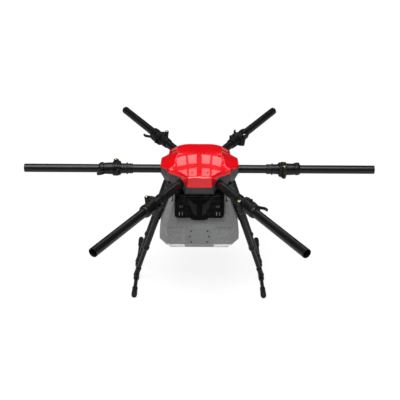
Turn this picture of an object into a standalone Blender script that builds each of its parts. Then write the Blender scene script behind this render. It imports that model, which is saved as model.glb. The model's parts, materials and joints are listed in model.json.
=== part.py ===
"""Six-arm agricultural spray drone: airframe, folding arms, battery bay, slide-out tank, skid landing gear.

Units are metres, +Z is up, the nose points to -Y and the ground is z = 0. Every other height is measured
from the plane of the arm axes. The pieces of an arm are modelled once along +X and shared by the six arms.
"""

import math

import bmesh
import bpy
from mathutils import Matrix, Vector

# ---------------------------------------------------------------- driving dimensions
GAP = 0.0003                 # clearance between pieces that touch
LAP = 0.001                  # how far joined solids run into each other
PAST = 0.010                 # how far a cutter runs past the face that it opens
ARM_PLANE = 0.570            # height of the arm axes above the ground
SIDES = (-1, 1)              # left, right
ENDS = {"front": -1, "rear": 1}

# Arms: a root tube from the centre, a fold joint, and the outer tube.
ARM_NAMES = ("right", "rear_right", "rear_left", "left", "front_left", "front_right")
ARM_STEP = math.radians(60)
ARM_TIP = 0.825              # centre of the airframe to the open end of an arm
TUBE_R, TUBE_WALL = 0.020, 0.0015
TUBE_SEGMENTS = 16
ROOT_TUBE_START = 0.062
TUBE_STOP = 0.0102           # a root tube ends this far before the parting plane
SLEEVE_FLOOR = 0.0127        # the outer tube's seat is this far past it

# Fold joint. The parting plane is at HINGE_X and the pin on the clockwise side of the arm.
HINGE_X, HINGE_Y = 0.397, -0.031
HINGE_TILT = math.radians(8)  # tips the pin so that a folded arm passes under its neighbour
FACE_GAP = 0.0002            # from the parting plane to each flange
KNUCKLE_R, PIN_R, PIN_HEAD_R = 0.0105, 0.0040, 0.0075
BARREL_HALF = 0.0118         # half length of the middle knuckle
BARREL_ROOM, BARREL_END_ROOM = 0.0013, 0.0004     # clearance round the turning barrel
PIN_REACH = 0.040            # half length of the pin's cutter
JOINT_HALF = 0.030           # half height of the flanges
KNUCKLE_HALF = JOINT_HALF + 0.001
FLANGE_EDGE = 0.003
BASE_FLANGE = (0.3735, -0.034, 0.028)      # start, clockwise side, latch side
SLEEVE_FLANGE = (0.409, -0.026, 0.028)     # end, clockwise side, latch side
COLLAR_START, COLLAR_R, RIB_R = 0.315, 0.0245, 0.0258
RIB_LONG, RIB_STEP = 0.006, 0.024
COLLAR_SHORT, SLEEVE_LAP = 0.002, 0.004    # from the collar to its flange's face, and the sleeve into its own
WEB_HALF, WEB_INNER = 0.0100, -0.012       # web between the barrel and the sleeve
SLEEVE_R, SLEEVE_LIP_R, SLEEVE_END = 0.0275, 0.0285, 0.474
SLEEVE_LIP = 0.010

# Latch: a lever on a fork of the inner flange, over a keeper on the outer one.
LATCH_X, LATCH_Y = 0.384, 0.036
LATCH_PIN_R, LATCH_EYE_R, LATCH_HALF = 0.0030, 0.0074, 0.008
LATCH_PIN_HALF, LATCH_PIN_ROOM, EYE_ROOM, LEVER_END_ROOM = 0.0100, 0.0005, 0.0010, 0.0005
FORK_HALF_X, FORK_HALF_Z, FORK_EYE_R, FORK_EYE_PROUD = 0.0070, 0.0125, 0.0075, 0.0005
FORK_ROOT = 0.020            # where the fork starts inside the flange
KEEPER = ((0.4080, 0.022, -0.0065), (0.4175, 0.0325, 0.0065))
LEVER_LINE = (               # x, y and half width along the lever, from its eye to the thumb pad
    (0.384, 0.0362, 0.0045), (0.400, 0.0392, 0.0045), (0.414, 0.0392, 0.0045),
    (0.428, 0.0370, 0.0042), (0.438, 0.0368, 0.0040), (0.447, 0.0410, 0.0040),
    (0.455, 0.0475, 0.0042), (0.464, 0.0505, 0.0042), (0.478, 0.0512, 0.0032),
)

# Centre body. Each row is one point of the right half of its outline, from nose to tail: plan x and y at the
# seam, height of the seam, height of the shoulder, and plan radius and height of the crown's crease.
BODY_OUTLINE = (
    (0.0000, -0.186, 0.000, 0.045, 0.176, 0.0500),   # nose
    (0.0535, -0.186, 0.000, 0.045, 0.183, 0.0500),
    (0.0870, -0.152, 0.034, 0.047, 0.167, 0.0510),   # kink over the front arm
    (0.1400, -0.118, 0.036, 0.052, 0.164, 0.0565),
    (0.1520, -0.082, 0.036, 0.048, 0.133, 0.0620),   # front notch
    (0.1820, -0.048, 0.034, 0.044, 0.112, 0.0660),
    (0.1820, 0.0000, 0.030, 0.040, 0.104, 0.0690),   # over the side arm
    (0.1820, 0.0440, 0.026, 0.036, 0.106, 0.0710),
    (0.1490, 0.0880, 0.025, 0.034, 0.121, 0.0745),   # rear notch
    (0.1470, 0.1350, 0.024, 0.034, 0.130, 0.0750),
    (0.0995, 0.1600, 0.024, 0.036, 0.122, 0.0760),   # over the rear arm
    (0.0520, 0.1850, 0.024, 0.037, 0.112, 0.0770),
    (0.0000, 0.1850, 0.024, 0.037, 0.106, 0.0780),   # tail
)
CANOPY_WALL, SHELL_WALL = 0.0020, 0.0025
SHOULDER_SCALE = 0.992
CROWN_TOP = (0, 0.010, 0.0815)
CROWN_DOME = 0.65            # part of the rise from crease to top that is reached halfway in
SEAM_GAP = 0.0005
NOSE_SPREAD, NOSE_FOOT_Y = 1.245, -0.1805    # the nose block widens downwards
SHELL_FLOOR, SHELL_FOOT_SCALE = -0.040, 0.90
WAIST_DROP = 0.006
TUBE_ROOM, SOCKET_ROOM = 0.0006, 0.0009
ARM_HOLE = (0.12, 0.22)      # start and end of the cutters for the arms, along an arm
SOCKET_HOLE = (-0.020, -0.098)             # and of those for the leg sockets, by height

# Centre plates, with saddles that clamp the root tubes between them.
PLATE_SCALE = 0.880
PLATE_CORNERS = (1, 3, 4, 5, 7, 8, 9, 11)   # rows of BODY_OUTLINE
PLATE_INNER = 0.0222         # face of each plate that looks at the arm tubes
PLATE_THICK = 0.0025
SADDLE_START, SADDLE_END, SADDLE_HALF = 0.088, 0.142, 0.029
SADDLE_FACE = 0.0004         # half gap between an upper and a lower saddle
GROOVE_R = TUBE_R + 0.0010
GROOVE = (0.04, 0.20)        # start and end of a groove's cutter, along an arm
WINDOW_HALF, WINDOW_CORNER = 0.030, 0.006
WINDOW_CUT = (0.010, 0.040)

# Power board on the upper plate.
BOARD_HALF_X, BOARD_HALF_Y = 0.050, 0.040
BOARD_LOW, BOARD_HIGH = 0.004, 0.0056      # above the plate
BOARD_PART_LOW = 0.005       # inside the board, where terminals and the module start
SPACER_X, SPACER_Y, SPACER_R, SPACER_HIGH = 0.044, 0.034, 0.003, 0.0075
TERMINAL_HALF, TERMINAL_STEP, TERMINAL_HIGH = 0.008, 0.030, 0.012
TERMINAL_NEAR, TERMINAL_FAR = 0.024, 0.036
MODULE_HALF_X, MODULE_HALF_Y, MODULE_HIGH, MODULE_EDGE = 0.022, 0.015, 0.018, 0.002

# Battery bay: an open-fronted tray under the lower plate, and the pack that slides into it.
BATTERY_HALF, BATTERY_TOP, BATTERY_BOTTOM = 0.1105, -0.0485, -0.1525
BATTERY_FRONT, BEZEL_BACK, BATTERY_BACK, TRAY_BACK = -0.200, -0.179, -0.045, -0.040
BEZEL_EDGE, BEZEL_LAP, TRAY_EDGE, TRAY_WALL, TRAY_ROOM = 0.007, 0.002, 0.001, 0.0015, 0.0005
HANGER_X, HANGER_HALF, HANGER_FRONT, HANGER_REAR = 0.070, 0.012, -0.115, -0.050
GRIP_OUTLINE = (
    (-0.037, 0.006), (0.037, 0.006), (0.037, 0), (0.029, -0.0125), (-0.029, -0.0125), (-0.037, 0),
)
GRIP_HALF, GRIP_IN = 0.009, 0.0102

# Tank: hung from two rails, open to the front round the battery bay, with a lower rear deck for the neck.
TANK_WALL = 0.0030
TANK_TOP, TANK_FLOOR = -0.058, -0.322
DECK_Z, DECK_Y = -0.165, 0.075
TANK_REAR, REAR_CUT = 0.175, 0.020
TANK_LEVELS = (              # height, half width, front, rear, and the two sides of the front corner's facet
    (TANK_FLOOR, 0.157, -0.182, TANK_REAR - 0.014, 0.024, 0.024),
    (-0.293, 0.187, -0.200, TANK_REAR, 0.048, 0.048),
    (-0.256, 0.187, -0.200, TANK_REAR, 0.040, 0.048),
    (-0.207, 0.178, -0.200, TANK_REAR, 0.028, 0.044),
    (-0.186, 0.173, -0.190, TANK_REAR, 0.026, 0.040),
    (-0.121, 0.150, -0.172, TANK_REAR, 0.020, 0.030),
    (TANK_TOP, 0.130, -0.160, TANK_REAR, 0.016, 0.024),
)
CHAMBER_SHOULDER = (-0.0945, 0.139, -0.166, TANK_REAR, 0.018, 0.027)
BAY_SIDE_ROOM, BAY_FLOOR_ROOM, BAY_REAR = 0.004, 0.0035, -0.035
GRIP_ROOM_HALF, GRIP_ROOM_DEEP, GRIP_ROOM_REAR = 0.040, 0.012, -0.172
FAR = 0.30                   # beyond every face of the tank
RAIL_X, RAIL_HALF, RAIL_LIP, RAIL_THICK = 0.123, 0.0015, 0.0075, 0.003
RAIL_END_Z, RAIL_FRONT, RAIL_REAR = -0.089, -0.150, 0.070
RAIL_ROOT_FRONT = -0.080     # above the shell's floor the rails start further back
RAIL_ROOM = 0.001
GROOVE_TOP_ROOM = 0.0012
NECK_Y, NECK_R, NECK_BORE, NECK_HIGH = 0.1240, 0.038, 0.033, 0.024
NECK_LAP, NECK_CUT, SEAL_ROOM = 0.002, 0.035, 0.0002
OUTLET_R, OUTLET_Z, OUTLET_OUT, OUTLET_LAP = 0.016, -0.296, 0.022, 0.020
CAP_LID_R, CAP_LID_LOW, CAP_LID_TOP = 0.0445, DECK_Z + 0.004, DECK_Z + 0.034
CAP_LID_ROOF, CAP_LID_EDGE, CAP_LID_GAP = 0.006, 0.003, 0.0006
LID_GRIPS, LID_GRIP_R, LID_GRIP_LOW, LID_GRIP_TOP = 6, 0.003, 0.002, 0.005

# Landing gear: four splayed legs in sockets, tees, and two skid tubes with end caps.
LEG_TOPS = {"front": (0.146, -0.098, -0.050), "rear": (0.146, 0.036, -0.050)}
LEG_FEET = {"front": (0.311, -0.089, -0.545), "rear": (0.311, 0.027, -0.545)}
LEG_SEGMENTS = 12
LEG_R, LEG_LOWER_R, LEG_COLLAR_R = 0.0130, 0.0105, 0.0155
LEG_START_Z, COLLAR_Z = -0.0610, -0.387
COLLAR_UP, COLLAR_DOWN, COLLAR_EDGE, COLLAR_CHAMFER = 0.012, 0.008, 0.004, 0.003
SOCKET_R, SOCKET_FLOOR_Z, SOCKET_END_Z, SOCKET_CUT = 0.0150, -0.060, -0.215, 0.020
SKID_X, SKID_Z = 0.311, -0.556
SKID_R, SKID_WALL, SKID_HALF = 0.0095, 0.0015, 0.245
LEG_END_Z = SKID_Z + 0.0125
TEE_R, TEE_HALF, TEE_HIGH = 0.0140, 0.026, 0.050
TEE_LAP, TEE_CUT, TEE_FLOOR_ROOM = 0.002, 0.030, 0.0004
CAP_R, CAP_MOUTH_R = 0.014, 0.0115         # a flat of the cap, CAP_R from its axis, faces the ground
CAP_START, CAP_FLARE, CAP_CENTRE = 0.185, 0.225, 0.257

MATERIALS = {                # base colour, roughness, metallic
    "carbon": ((0.020, 0.021, 0.023), 0.34, 0.0),
    "cast_black": ((0.018, 0.018, 0.019), 0.45, 0.0),
    "brass": ((0.80, 0.66, 0.40), 0.28, 1.0),
    "red_gloss": ((0.80, 0.004, 0.020), 0.12, 0.0),
    "shell_grey": ((0.060, 0.062, 0.063), 0.42, 0.0),
    "battery_black": ((0.008, 0.008, 0.009), 0.38, 0.0),
    "tank_grey": ((0.200, 0.203, 0.205), 0.46, 0.0),
    "board_green": ((0.030, 0.120, 0.060), 0.45, 0.0),
    "rubber": ((0.012, 0.012, 0.013), 0.70, 0.0),
}


# ---------------------------------------------------------------- scene helpers
def clear_scene():
    for old in list(bpy.data.objects):
        bpy.data.objects.remove(old, do_unlink=True)


def collection(name):
    made = bpy.data.collections.new(name)
    bpy.context.scene.collection.children.link(made)
    return made


def material(name):
    found = bpy.data.materials.get(name)
    if found:
        return found
    colour, roughness, metallic = MATERIALS[name]
    made = bpy.data.materials.new(name)
    made.use_nodes = True
    shader = made.node_tree.nodes["Principled BSDF"]
    shader.inputs["Base Color"].default_value = (*colour, 1)
    shader.inputs["Roughness"].default_value = roughness
    shader.inputs["Metallic"].default_value = metallic
    made.diffuse_color = (*colour, 1)
    return made


def guide(data):
    """A hidden object that only serves to make a part: a profile, an outline or a cutter."""
    made = bpy.data.objects.new(data.name, data)
    made.hide_render = True
    made.display_type = "WIRE"
    CUTTERS.objects.link(made)
    return made


def guide_mesh(bm, name="guide"):
    mesh = bpy.data.meshes.new(name)
    bmesh.ops.recalc_face_normals(bm, faces=bm.faces)
    bm.to_mesh(mesh)
    bm.free()
    return guide(mesh)


def bmesh_of(mesh):
    bm = bmesh.new()
    bm.from_mesh(mesh)
    return bm


def evaluated(made):
    """The mesh that a guide's modifiers give. The guide and its own data are removed."""
    graph = bpy.context.evaluated_depsgraph_get()
    mesh = bpy.data.meshes.new_from_object(made.evaluated_get(graph))
    bpy.data.batch_remove((made, made.data))
    return mesh


def axis_frame(start, toward):
    """A matrix at start whose Z axis points toward a point."""
    way = Vector(toward) - Vector(start)
    return Matrix.Translation(start) @ way.to_track_quat("Z", "Y").to_matrix().to_4x4()


# ---------------------------------------------------------------- shapes, each one a bmesh
def box(low, high):
    """A box between two opposite corners, given in any order."""
    bm = bmesh.new()
    bmesh.ops.create_cube(bm, size=1)
    low, high = Vector(low), Vector(high)
    size = Vector([abs(high[i] - low[i]) for i in range(3)])
    bmesh.ops.scale(bm, vec=size, verts=bm.verts)
    bmesh.ops.translate(bm, vec=(low + high) / 2, verts=bm.verts)
    return bm


def rounded_box(low, high, radius, segments=1):
    bm = box(low, high)
    bmesh.ops.bevel(bm, geom=bm.edges[:], offset=radius, segments=segments, affect="EDGES", profile=0.5)
    return bm


def rod(radius, start, end, segments):
    """A cylinder whose first flat faces half a step away from the line's local X."""
    length = (Vector(end) - Vector(start)).length
    flat_first = Matrix.Rotation(math.pi / segments - math.pi / 2, 4, "Z")
    where = axis_frame(start, end) @ Matrix.Translation((0, 0, length / 2)) @ flat_first
    bm = bmesh.new()
    bmesh.ops.create_cone(bm, cap_ends=True, segments=segments, radius1=radius, radius2=radius,
                          depth=length, matrix=where)
    return bm


def turned(profile, segments, start, toward):
    """A turned shape. The profile's (along, radius) points run down its outer side, and end on the axis
    or, in a ring, join up with the first one. Its flats lie as in a rod."""
    bm = bmesh.new()
    points = [bm.verts.new((radius, 0, along)) for along, radius in profile]
    for pair in zip(points, points[1:]):
        bm.edges.new(pair)
    if profile[0][1] > 0:
        bm.edges.new((points[-1], points[0]))
    line = guide_mesh(bm, "profile")
    screw = line.modifiers.new("turn", "SCREW")
    screw.steps = segments
    screw.render_steps = segments
    screw.use_merge_vertices = True
    screw.merge_threshold = 0.00001
    bm = bmesh_of(evaluated(line))
    flat_first = Matrix.Rotation(math.pi / segments, 4, "Z")
    bmesh.ops.transform(bm, matrix=axis_frame(start, toward) @ flat_first, verts=bm.verts)
    return bm


def tube(outer, inner, start, end, segments):
    length = (Vector(end) - Vector(start)).length
    return turned([(length, outer), (0, outer), (0, inner), (length, inner)], segments, start, end)


def extruded(outline, low, high):
    """A flat outline in XY, as a filled 2D curve made solid between two heights."""
    curve = bpy.data.curves.new("outline", "CURVE")
    curve.dimensions = "2D"
    curve.fill_mode = "BOTH"
    curve.extrude = (high - low) / 2
    spline = curve.splines.new("POLY")
    spline.points.add(len(outline) - 1)
    for point, (x, y) in zip(spline.points, outline):
        point.co = (x, y, 0, 1)
    spline.use_cyclic_u = True
    bm = bmesh_of(evaluated(guide(curve)))
    bmesh.ops.remove_doubles(bm, verts=bm.verts, dist=0.00001)
    bmesh.ops.translate(bm, vec=(0, 0, (low + high) / 2), verts=bm.verts)
    return bm


def loft(rings, closing_point=None):
    """A surface through rings of equal length, open at both ends unless a point closes the last one."""
    bm = bmesh.new()
    rows = [[bm.verts.new(point) for point in ring] for ring in rings]
    count = len(rows[0])
    for lower, upper in zip(rows, rows[1:]):
        for step in range(count):
            after = (step + 1) % count
            bm.faces.new((lower[step], lower[after], upper[after], upper[step]))
    if closing_point:
        tip = bm.verts.new(closing_point)
        for step in range(count):
            bm.faces.new((rows[-1][step], rows[-1][(step + 1) % count], tip))
    return bm


def capped_loft(rings):
    """A solid through rings of equal length."""
    bm = loft(rings)
    bm.verts.ensure_lookup_table()
    count = len(rings[0])
    bm.faces.new(reversed(bm.verts[:count]))
    bm.faces.new(bm.verts[-count:])
    return bm


def round_the_arms(shape):
    """The shape as it lies on the first arm, once for each arm. shape makes a new one each time."""
    made = []
    for index in range(len(ARM_NAMES)):
        bm = shape()
        bmesh.ops.rotate(bm, matrix=Matrix.Rotation(index * ARM_STEP, 3, "Z"), verts=bm.verts)
        made.append(bm)
    return made


# ---------------------------------------------------------------- joining, cutting and placing
def welded(mesh):
    """Merges the points that a Boolean leaves closer together than any real edge."""
    bm = bmesh_of(mesh)
    bmesh.ops.remove_doubles(bm, verts=bm.verts, dist=0.00002)
    bmesh.ops.dissolve_degenerate(bm, edges=bm.edges, dist=0.00001)
    bmesh.ops.triangulate(bm, faces=bm.faces)
    bm.to_mesh(mesh)
    bm.free()


def baked_mesh(name, base, adds=(), cuts=(), rebuild=(), wall=0.0, sharp=40):
    """The base, made a shell if it has a wall, with adds joined, cuts taken away and rebuild joined."""
    work = guide_mesh(base, name)
    if wall:
        shell = work.modifiers.new("wall", "SOLIDIFY")
        shell.thickness = wall
        shell.offset = -1
        shell.use_even_offset = True
    tools = []
    for operation, shapes in (("UNION", adds), ("DIFFERENCE", cuts), ("UNION", rebuild)):
        for shape in shapes:
            step = work.modifiers.new(operation.lower(), "BOOLEAN")
            step.operation = operation
            step.solver = "EXACT"
            step.object = guide_mesh(shape)
            tools.append(step.object)
    final = evaluated(work)
    for tool in tools:
        bpy.data.batch_remove((tool, tool.data))
    final.name = name
    welded(final)
    final.shade_smooth()
    final.set_sharp_from_angle(angle=math.radians(sharp))
    return final


def axis_empty(name, parent, matrix):
    """An empty at a frame's origin or on a joint's axis, its Z along the axis."""
    made = bpy.data.objects.new(name, None)
    made.empty_display_size = 0.03
    PARTS.objects.link(made)
    made.parent = parent
    made.matrix_basis = matrix
    return made


def place(mesh, finish, frame, axis=None, name=None):
    """A part in its frame's coordinates. With an axis, it hangs from that joint and keeps its place."""
    if not mesh.materials:
        mesh.materials.append(material(finish))
    made = bpy.data.objects.new(name or mesh.name, mesh)
    PARTS.objects.link(made)
    made.parent = axis or frame
    link, chain = axis or frame, Matrix()
    while link is not frame:
        chain = link.matrix_basis @ chain
        link = link.parent
    made.matrix_parent_inverse = chain.inverted()
    return made


# ---------------------------------------------------------------- arms
def on_hinge(height):
    """A point on the tilted hinge pin."""
    way = Vector((0, -math.sin(HINGE_TILT), math.cos(HINGE_TILT)))
    return Vector((HINGE_X, HINGE_Y, 0)) + way * height


def hinge_rod(radius, low, high, segments=12):
    return rod(radius, on_hinge(low), on_hinge(high), segments)


def latch_rod(radius, half, segments=12):
    return rod(radius, (LATCH_X, LATCH_Y, -half), (LATCH_X, LATCH_Y, half), segments)


def pin_bore():
    return hinge_rod(PIN_R + GAP, -PIN_REACH, PIN_REACH, 10)


def root_tube():
    start, end = (ROOT_TUBE_START, 0, 0), (HINGE_X - TUBE_STOP - GAP, 0, 0)
    return baked_mesh("root_tube", tube(TUBE_R, TUBE_R - TUBE_WALL, start, end, TUBE_SEGMENTS))


def arm_tube():
    start, end = (HINGE_X + SLEEVE_FLOOR + GAP, 0, 0), (ARM_TIP, 0, 0)
    return baked_mesh("arm_tube", tube(TUBE_R, TUBE_R - TUBE_WALL, start, end, TUBE_SEGMENTS))


def joint_base():
    """Ribbed collar, hinge flange with its two knuckles, and the fork that carries the latch lever."""
    face = HINGE_X - FACE_GAP
    length = face - COLLAR_SHORT - COLLAR_START
    profile = [(length, 0), (length, COLLAR_R)]
    for rib_start in (RIB_STEP, 0):
        rib_end = rib_start + RIB_LONG
        profile += [(rib_end, COLLAR_R), (rib_end, RIB_R), (rib_start, RIB_R), (rib_start, COLLAR_R)]
    profile[-1] = (0, 0)
    collar = turned(profile, TUBE_SEGMENTS, (COLLAR_START, 0, 0), (1, 0, 0))
    start, low_y, high_y = BASE_FLANGE
    flange = rounded_box((start, low_y, -JOINT_HALF), (face, high_y, JOINT_HALF), FLANGE_EDGE)
    knuckles = hinge_rod(KNUCKLE_R, -KNUCKLE_HALF, KNUCKLE_HALF)
    fork = box((LATCH_X - FORK_HALF_X, FORK_ROOT, -FORK_HALF_Z), (LATCH_X + FORK_HALF_X, LATCH_Y, FORK_HALF_Z))
    fork_eye = latch_rod(FORK_EYE_R, FORK_HALF_Z + FORK_EYE_PROUD, 10)
    tube_bore = rod(TUBE_R + GAP, (COLLAR_START - PAST, 0, 0), (HINGE_X - TUBE_STOP, 0, 0), TUBE_SEGMENTS)
    room = BARREL_HALF + BARREL_END_ROOM
    barrel_room = hinge_rod(KNUCKLE_R + BARREL_ROOM, -room, room)
    lever_room = latch_rod(LATCH_EYE_R + EYE_ROOM, LATCH_HALF + LEVER_END_ROOM)
    latch_pin = latch_rod(LATCH_PIN_R, LATCH_PIN_HALF, 8)
    return baked_mesh(
        "joint_base",
        collar,
        adds=(flange, knuckles, fork, fork_eye),
        cuts=(tube_bore, barrel_room, pin_bore(), lever_room),
        rebuild=(latch_pin,),
    )


def joint_sleeve():
    """Outer half of the fold joint: hinge barrel, flange and the sleeve that grips the outer tube."""
    face = HINGE_X + FACE_GAP
    end, low_y, high_y = SLEEVE_FLANGE
    start = end - SLEEVE_LAP
    length = SLEEVE_END - start
    floor = HINGE_X + SLEEVE_FLOOR - start
    bore = TUBE_R + GAP
    profile = [
        (floor, 0), (floor, bore), (length, bore), (length, SLEEVE_LIP_R),
        (length - SLEEVE_LIP, SLEEVE_LIP_R), (length - SLEEVE_LIP, SLEEVE_R), (0, SLEEVE_R), (0, 0),
    ]
    sleeve = turned(profile, TUBE_SEGMENTS, (start, 0, 0), (1, 0, 0))
    flange = rounded_box((face, low_y, -JOINT_HALF), (end, high_y, JOINT_HALF), FLANGE_EDGE)
    barrel = hinge_rod(KNUCKLE_R, -BARREL_HALF, BARREL_HALF)
    web = box((face, HINGE_Y, -WEB_HALF), (end - LAP, WEB_INNER, WEB_HALF))
    knuckle_room = KNUCKLE_R + BARREL_ROOM
    upper_room = hinge_rod(knuckle_room, BARREL_HALF, PIN_REACH + PAST)
    lower_room = hinge_rod(knuckle_room, -PIN_REACH - PAST, -BARREL_HALF)
    return baked_mesh(
        "joint_sleeve",
        sleeve,
        adds=(flange, barrel, web, box(*KEEPER)),
        cuts=(upper_room, lower_room, pin_bore()),
    )


def hinge_pin():
    """A headed pin, riveted over with a chamfered head at its upper end."""
    head, top_head, edge, chamfer = 0.003, 0.005, 0.0015, 0.002
    length = head + 2 * (KNUCKLE_HALF + GAP)
    top = length + top_head
    profile = [
        (top, 0), (top, PIN_HEAD_R - chamfer), (top - edge, PIN_HEAD_R), (length, PIN_HEAD_R),
        (length, PIN_R), (head, PIN_R), (head, PIN_HEAD_R), (0, PIN_HEAD_R), (0, 0),
    ]
    start = on_hinge(-KNUCKLE_HALF - GAP - head)
    return baked_mesh("hinge_pin", turned(profile, 10, start, on_hinge(1)))


def latch_lever():
    """Over-centre lever: an eye on the latch pin, an S-shaped blade and a thumb pad that stands off."""
    left, right = [], []
    for index, (x, y, half_width) in enumerate(LEVER_LINE):
        before = Vector(LEVER_LINE[max(index - 1, 0)][:2])
        after = Vector(LEVER_LINE[min(index + 1, len(LEVER_LINE) - 1)][:2])
        along = (after - before).normalized()
        side = Vector((-along.y, along.x)) * half_width
        left.append((x + side.x, y + side.y))
        right.append((x - side.x, y - side.y))
    blade = extruded(left + right[::-1], -LATCH_HALF, LATCH_HALF)
    eye = latch_rod(LATCH_EYE_R, LATCH_HALF)
    bore = latch_rod(LATCH_PIN_R + LATCH_PIN_ROOM, LATCH_HALF + PAST, 8)
    return baked_mesh("latch_lever", blade, adds=(eye,), cuts=(bore,))


def build_arms():
    fixed = {"carbon": root_tube(), "cast_black": joint_base(), "brass": hinge_pin()}
    folding = {"cast_black": joint_sleeve(), "carbon": arm_tube()}
    levers = {"cast_black": latch_lever()}
    fold = Matrix.Translation((HINGE_X, HINGE_Y, 0)) @ Matrix.Rotation(HINGE_TILT, 4, "X")
    latch = Matrix.Translation((LATCH_X, LATCH_Y, 0))
    for index, side in enumerate(ARM_NAMES):
        turn = Matrix.Translation((0, 0, ARM_PLANE)) @ Matrix.Rotation(index * ARM_STEP, 4, "Z")
        arm = axis_empty(f"arm_frame_{side}", None, turn)
        fold_axis = axis_empty(f"fold_axis_{side}", arm, fold)
        latch_axis = axis_empty(f"latch_axis_{side}", arm, latch)
        for meshes, axis in ((fixed, None), (folding, fold_axis), (levers, latch_axis)):
            for finish, mesh in meshes.items():
                place(mesh, finish, arm, axis, f"{mesh.name}_{side}")


# ---------------------------------------------------------------- centre body
def body_outline(rows=BODY_OUTLINE):
    """The rows of one half all the way round, anticlockwise from the nose."""
    left = [(-row[0], *row[1:]) for row in reversed(rows) if row[0] > 0]
    return [*rows, *left]


def build_canopy(body):
    """Skirt, slopes up to the crown's crease, and a low crown."""
    skirt, shoulder, crease, inner = [], [], [], []
    for x, y, seam, top, reach, height in body_outline():
        skirt.append((x, y, seam))
        shoulder.append((x * SHOULDER_SCALE, y * SHOULDER_SCALE, top))
        way = Vector((x, y)).normalized()
        crease.append((way.x * reach, way.y * reach, height))
        dome = height + (CROWN_TOP[2] - height) * CROWN_DOME
        inner.append((way.x * reach / 2, way.y * reach / 2, dome))
    surface = loft([skirt, shoulder, crease, inner], CROWN_TOP)
    place(baked_mesh("top_canopy", surface, wall=CANOPY_WALL, sharp=20), "red_gloss", body)


def build_lower_shell(body):
    """A ring below the canopy's seam, with a nose block and openings for the arms and leg sockets."""
    top, waist, foot = [], [], []
    for x, y, seam, *_ in body_outline():
        x, y = x * SHOULDER_SCALE, y * SHOULDER_SCALE
        top.append((x, y, seam - SEAM_GAP))
        waist.append((x, y, min(seam - SEAM_GAP - WAIST_DROP, 0.0)))
        if seam > 0:
            foot.append((x * SHELL_FOOT_SCALE, y * SHELL_FOOT_SCALE, SHELL_FLOOR))
        else:
            foot.append((x * NOSE_SPREAD, NOSE_FOOT_Y, SHELL_FLOOR))
    near, far = ((reach, 0, 0) for reach in ARM_HOLE)
    cuts = round_the_arms(lambda: rod(TUBE_R + TUBE_ROOM, near, far, TUBE_SEGMENTS))
    for side in SIDES:
        for end in ENDS:
            line = leg_line(end, side)
            start, stop = (at_height(line, z) for z in SOCKET_HOLE)
            cuts.append(rod(SOCKET_R + SOCKET_ROOM, start, stop, LEG_SEGMENTS))
    mesh = baked_mesh("lower_shell", loft([top, waist, foot]), cuts=cuts, wall=SHELL_WALL, sharp=20)
    place(mesh, "shell_grey", body)


def saddles(low, high):
    """Blocks that hold the six root tubes, from low to high."""
    near, far = (SADDLE_START, -SADDLE_HALF, low), (SADDLE_END, SADDLE_HALF, high)
    return round_the_arms(lambda: box(near, far))


def tube_grooves():
    near, far = ((reach, 0, 0) for reach in GROOVE)
    return round_the_arms(lambda: rod(GROOVE_R, near, far, 12))


def plate(inner, outer):
    """The body's outline scaled down, without its points at the nose, the tail and over the arms."""
    outline = body_outline([BODY_OUTLINE[index] for index in PLATE_CORNERS])
    return extruded([(x * PLATE_SCALE, y * PLATE_SCALE) for x, y, *_ in outline], inner, outer)


def build_upper_plate(body):
    low, high = WINDOW_CUT
    window = rounded_box((-WINDOW_HALF, -WINDOW_HALF, low), (WINDOW_HALF, WINDOW_HALF, high), WINDOW_CORNER)
    mesh = baked_mesh(
        "upper_plate",
        plate(PLATE_INNER, PLATE_INNER + PLATE_THICK),
        adds=saddles(SADDLE_FACE, PLATE_INNER + LAP),
        cuts=[*tube_grooves(), window],
    )
    place(mesh, "carbon", body)


def rail_box(side, near, far, front, rear, low, high):
    """A box beside one rail, from near to far outwards of the rail's middle."""
    return box((side * (RAIL_X + near), front, low), (side * (RAIL_X + far), rear, high))


def build_lower_frame(body):
    """Lower centre plate with its tube saddles, the four leg sockets and the tank's two hanger rails."""
    adds, bores = saddles(-PLATE_INNER - LAP, -SADDLE_FACE), []
    for side in SIDES:
        for end in ENDS:
            line = leg_line(end, side)
            start, stop = at_height(line, -PLATE_INNER), at_height(line, SOCKET_END_Z)
            adds.append(rod(SOCKET_R, start, stop, LEG_SEGMENTS))
            start, stop = at_height(line, SOCKET_FLOOR_Z), at_height(line, SOCKET_END_Z - SOCKET_CUT)
            bores.append(rod(LEG_R + GAP, start, stop, LEG_SEGMENTS))
        web = (side, -RAIL_HALF, RAIL_HALF)
        adds.append(rail_box(*web, RAIL_ROOT_FRONT, RAIL_REAR, RAIL_END_Z + PAST, -PLATE_INNER - LAP))
        adds.append(rail_box(*web, RAIL_FRONT, RAIL_REAR, RAIL_END_Z, SHELL_FLOOR - RAIL_THICK))
        lip = (side, -RAIL_HALF, RAIL_LIP)
        adds.append(rail_box(*lip, RAIL_FRONT, RAIL_REAR, RAIL_END_Z, RAIL_END_Z + RAIL_THICK))
    low_plate = plate(-PLATE_INNER - PLATE_THICK, -PLATE_INNER)
    mesh = baked_mesh("lower_frame", low_plate, adds=adds, cuts=[*tube_grooves(), *bores])
    place(mesh, "cast_black", body)


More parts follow.
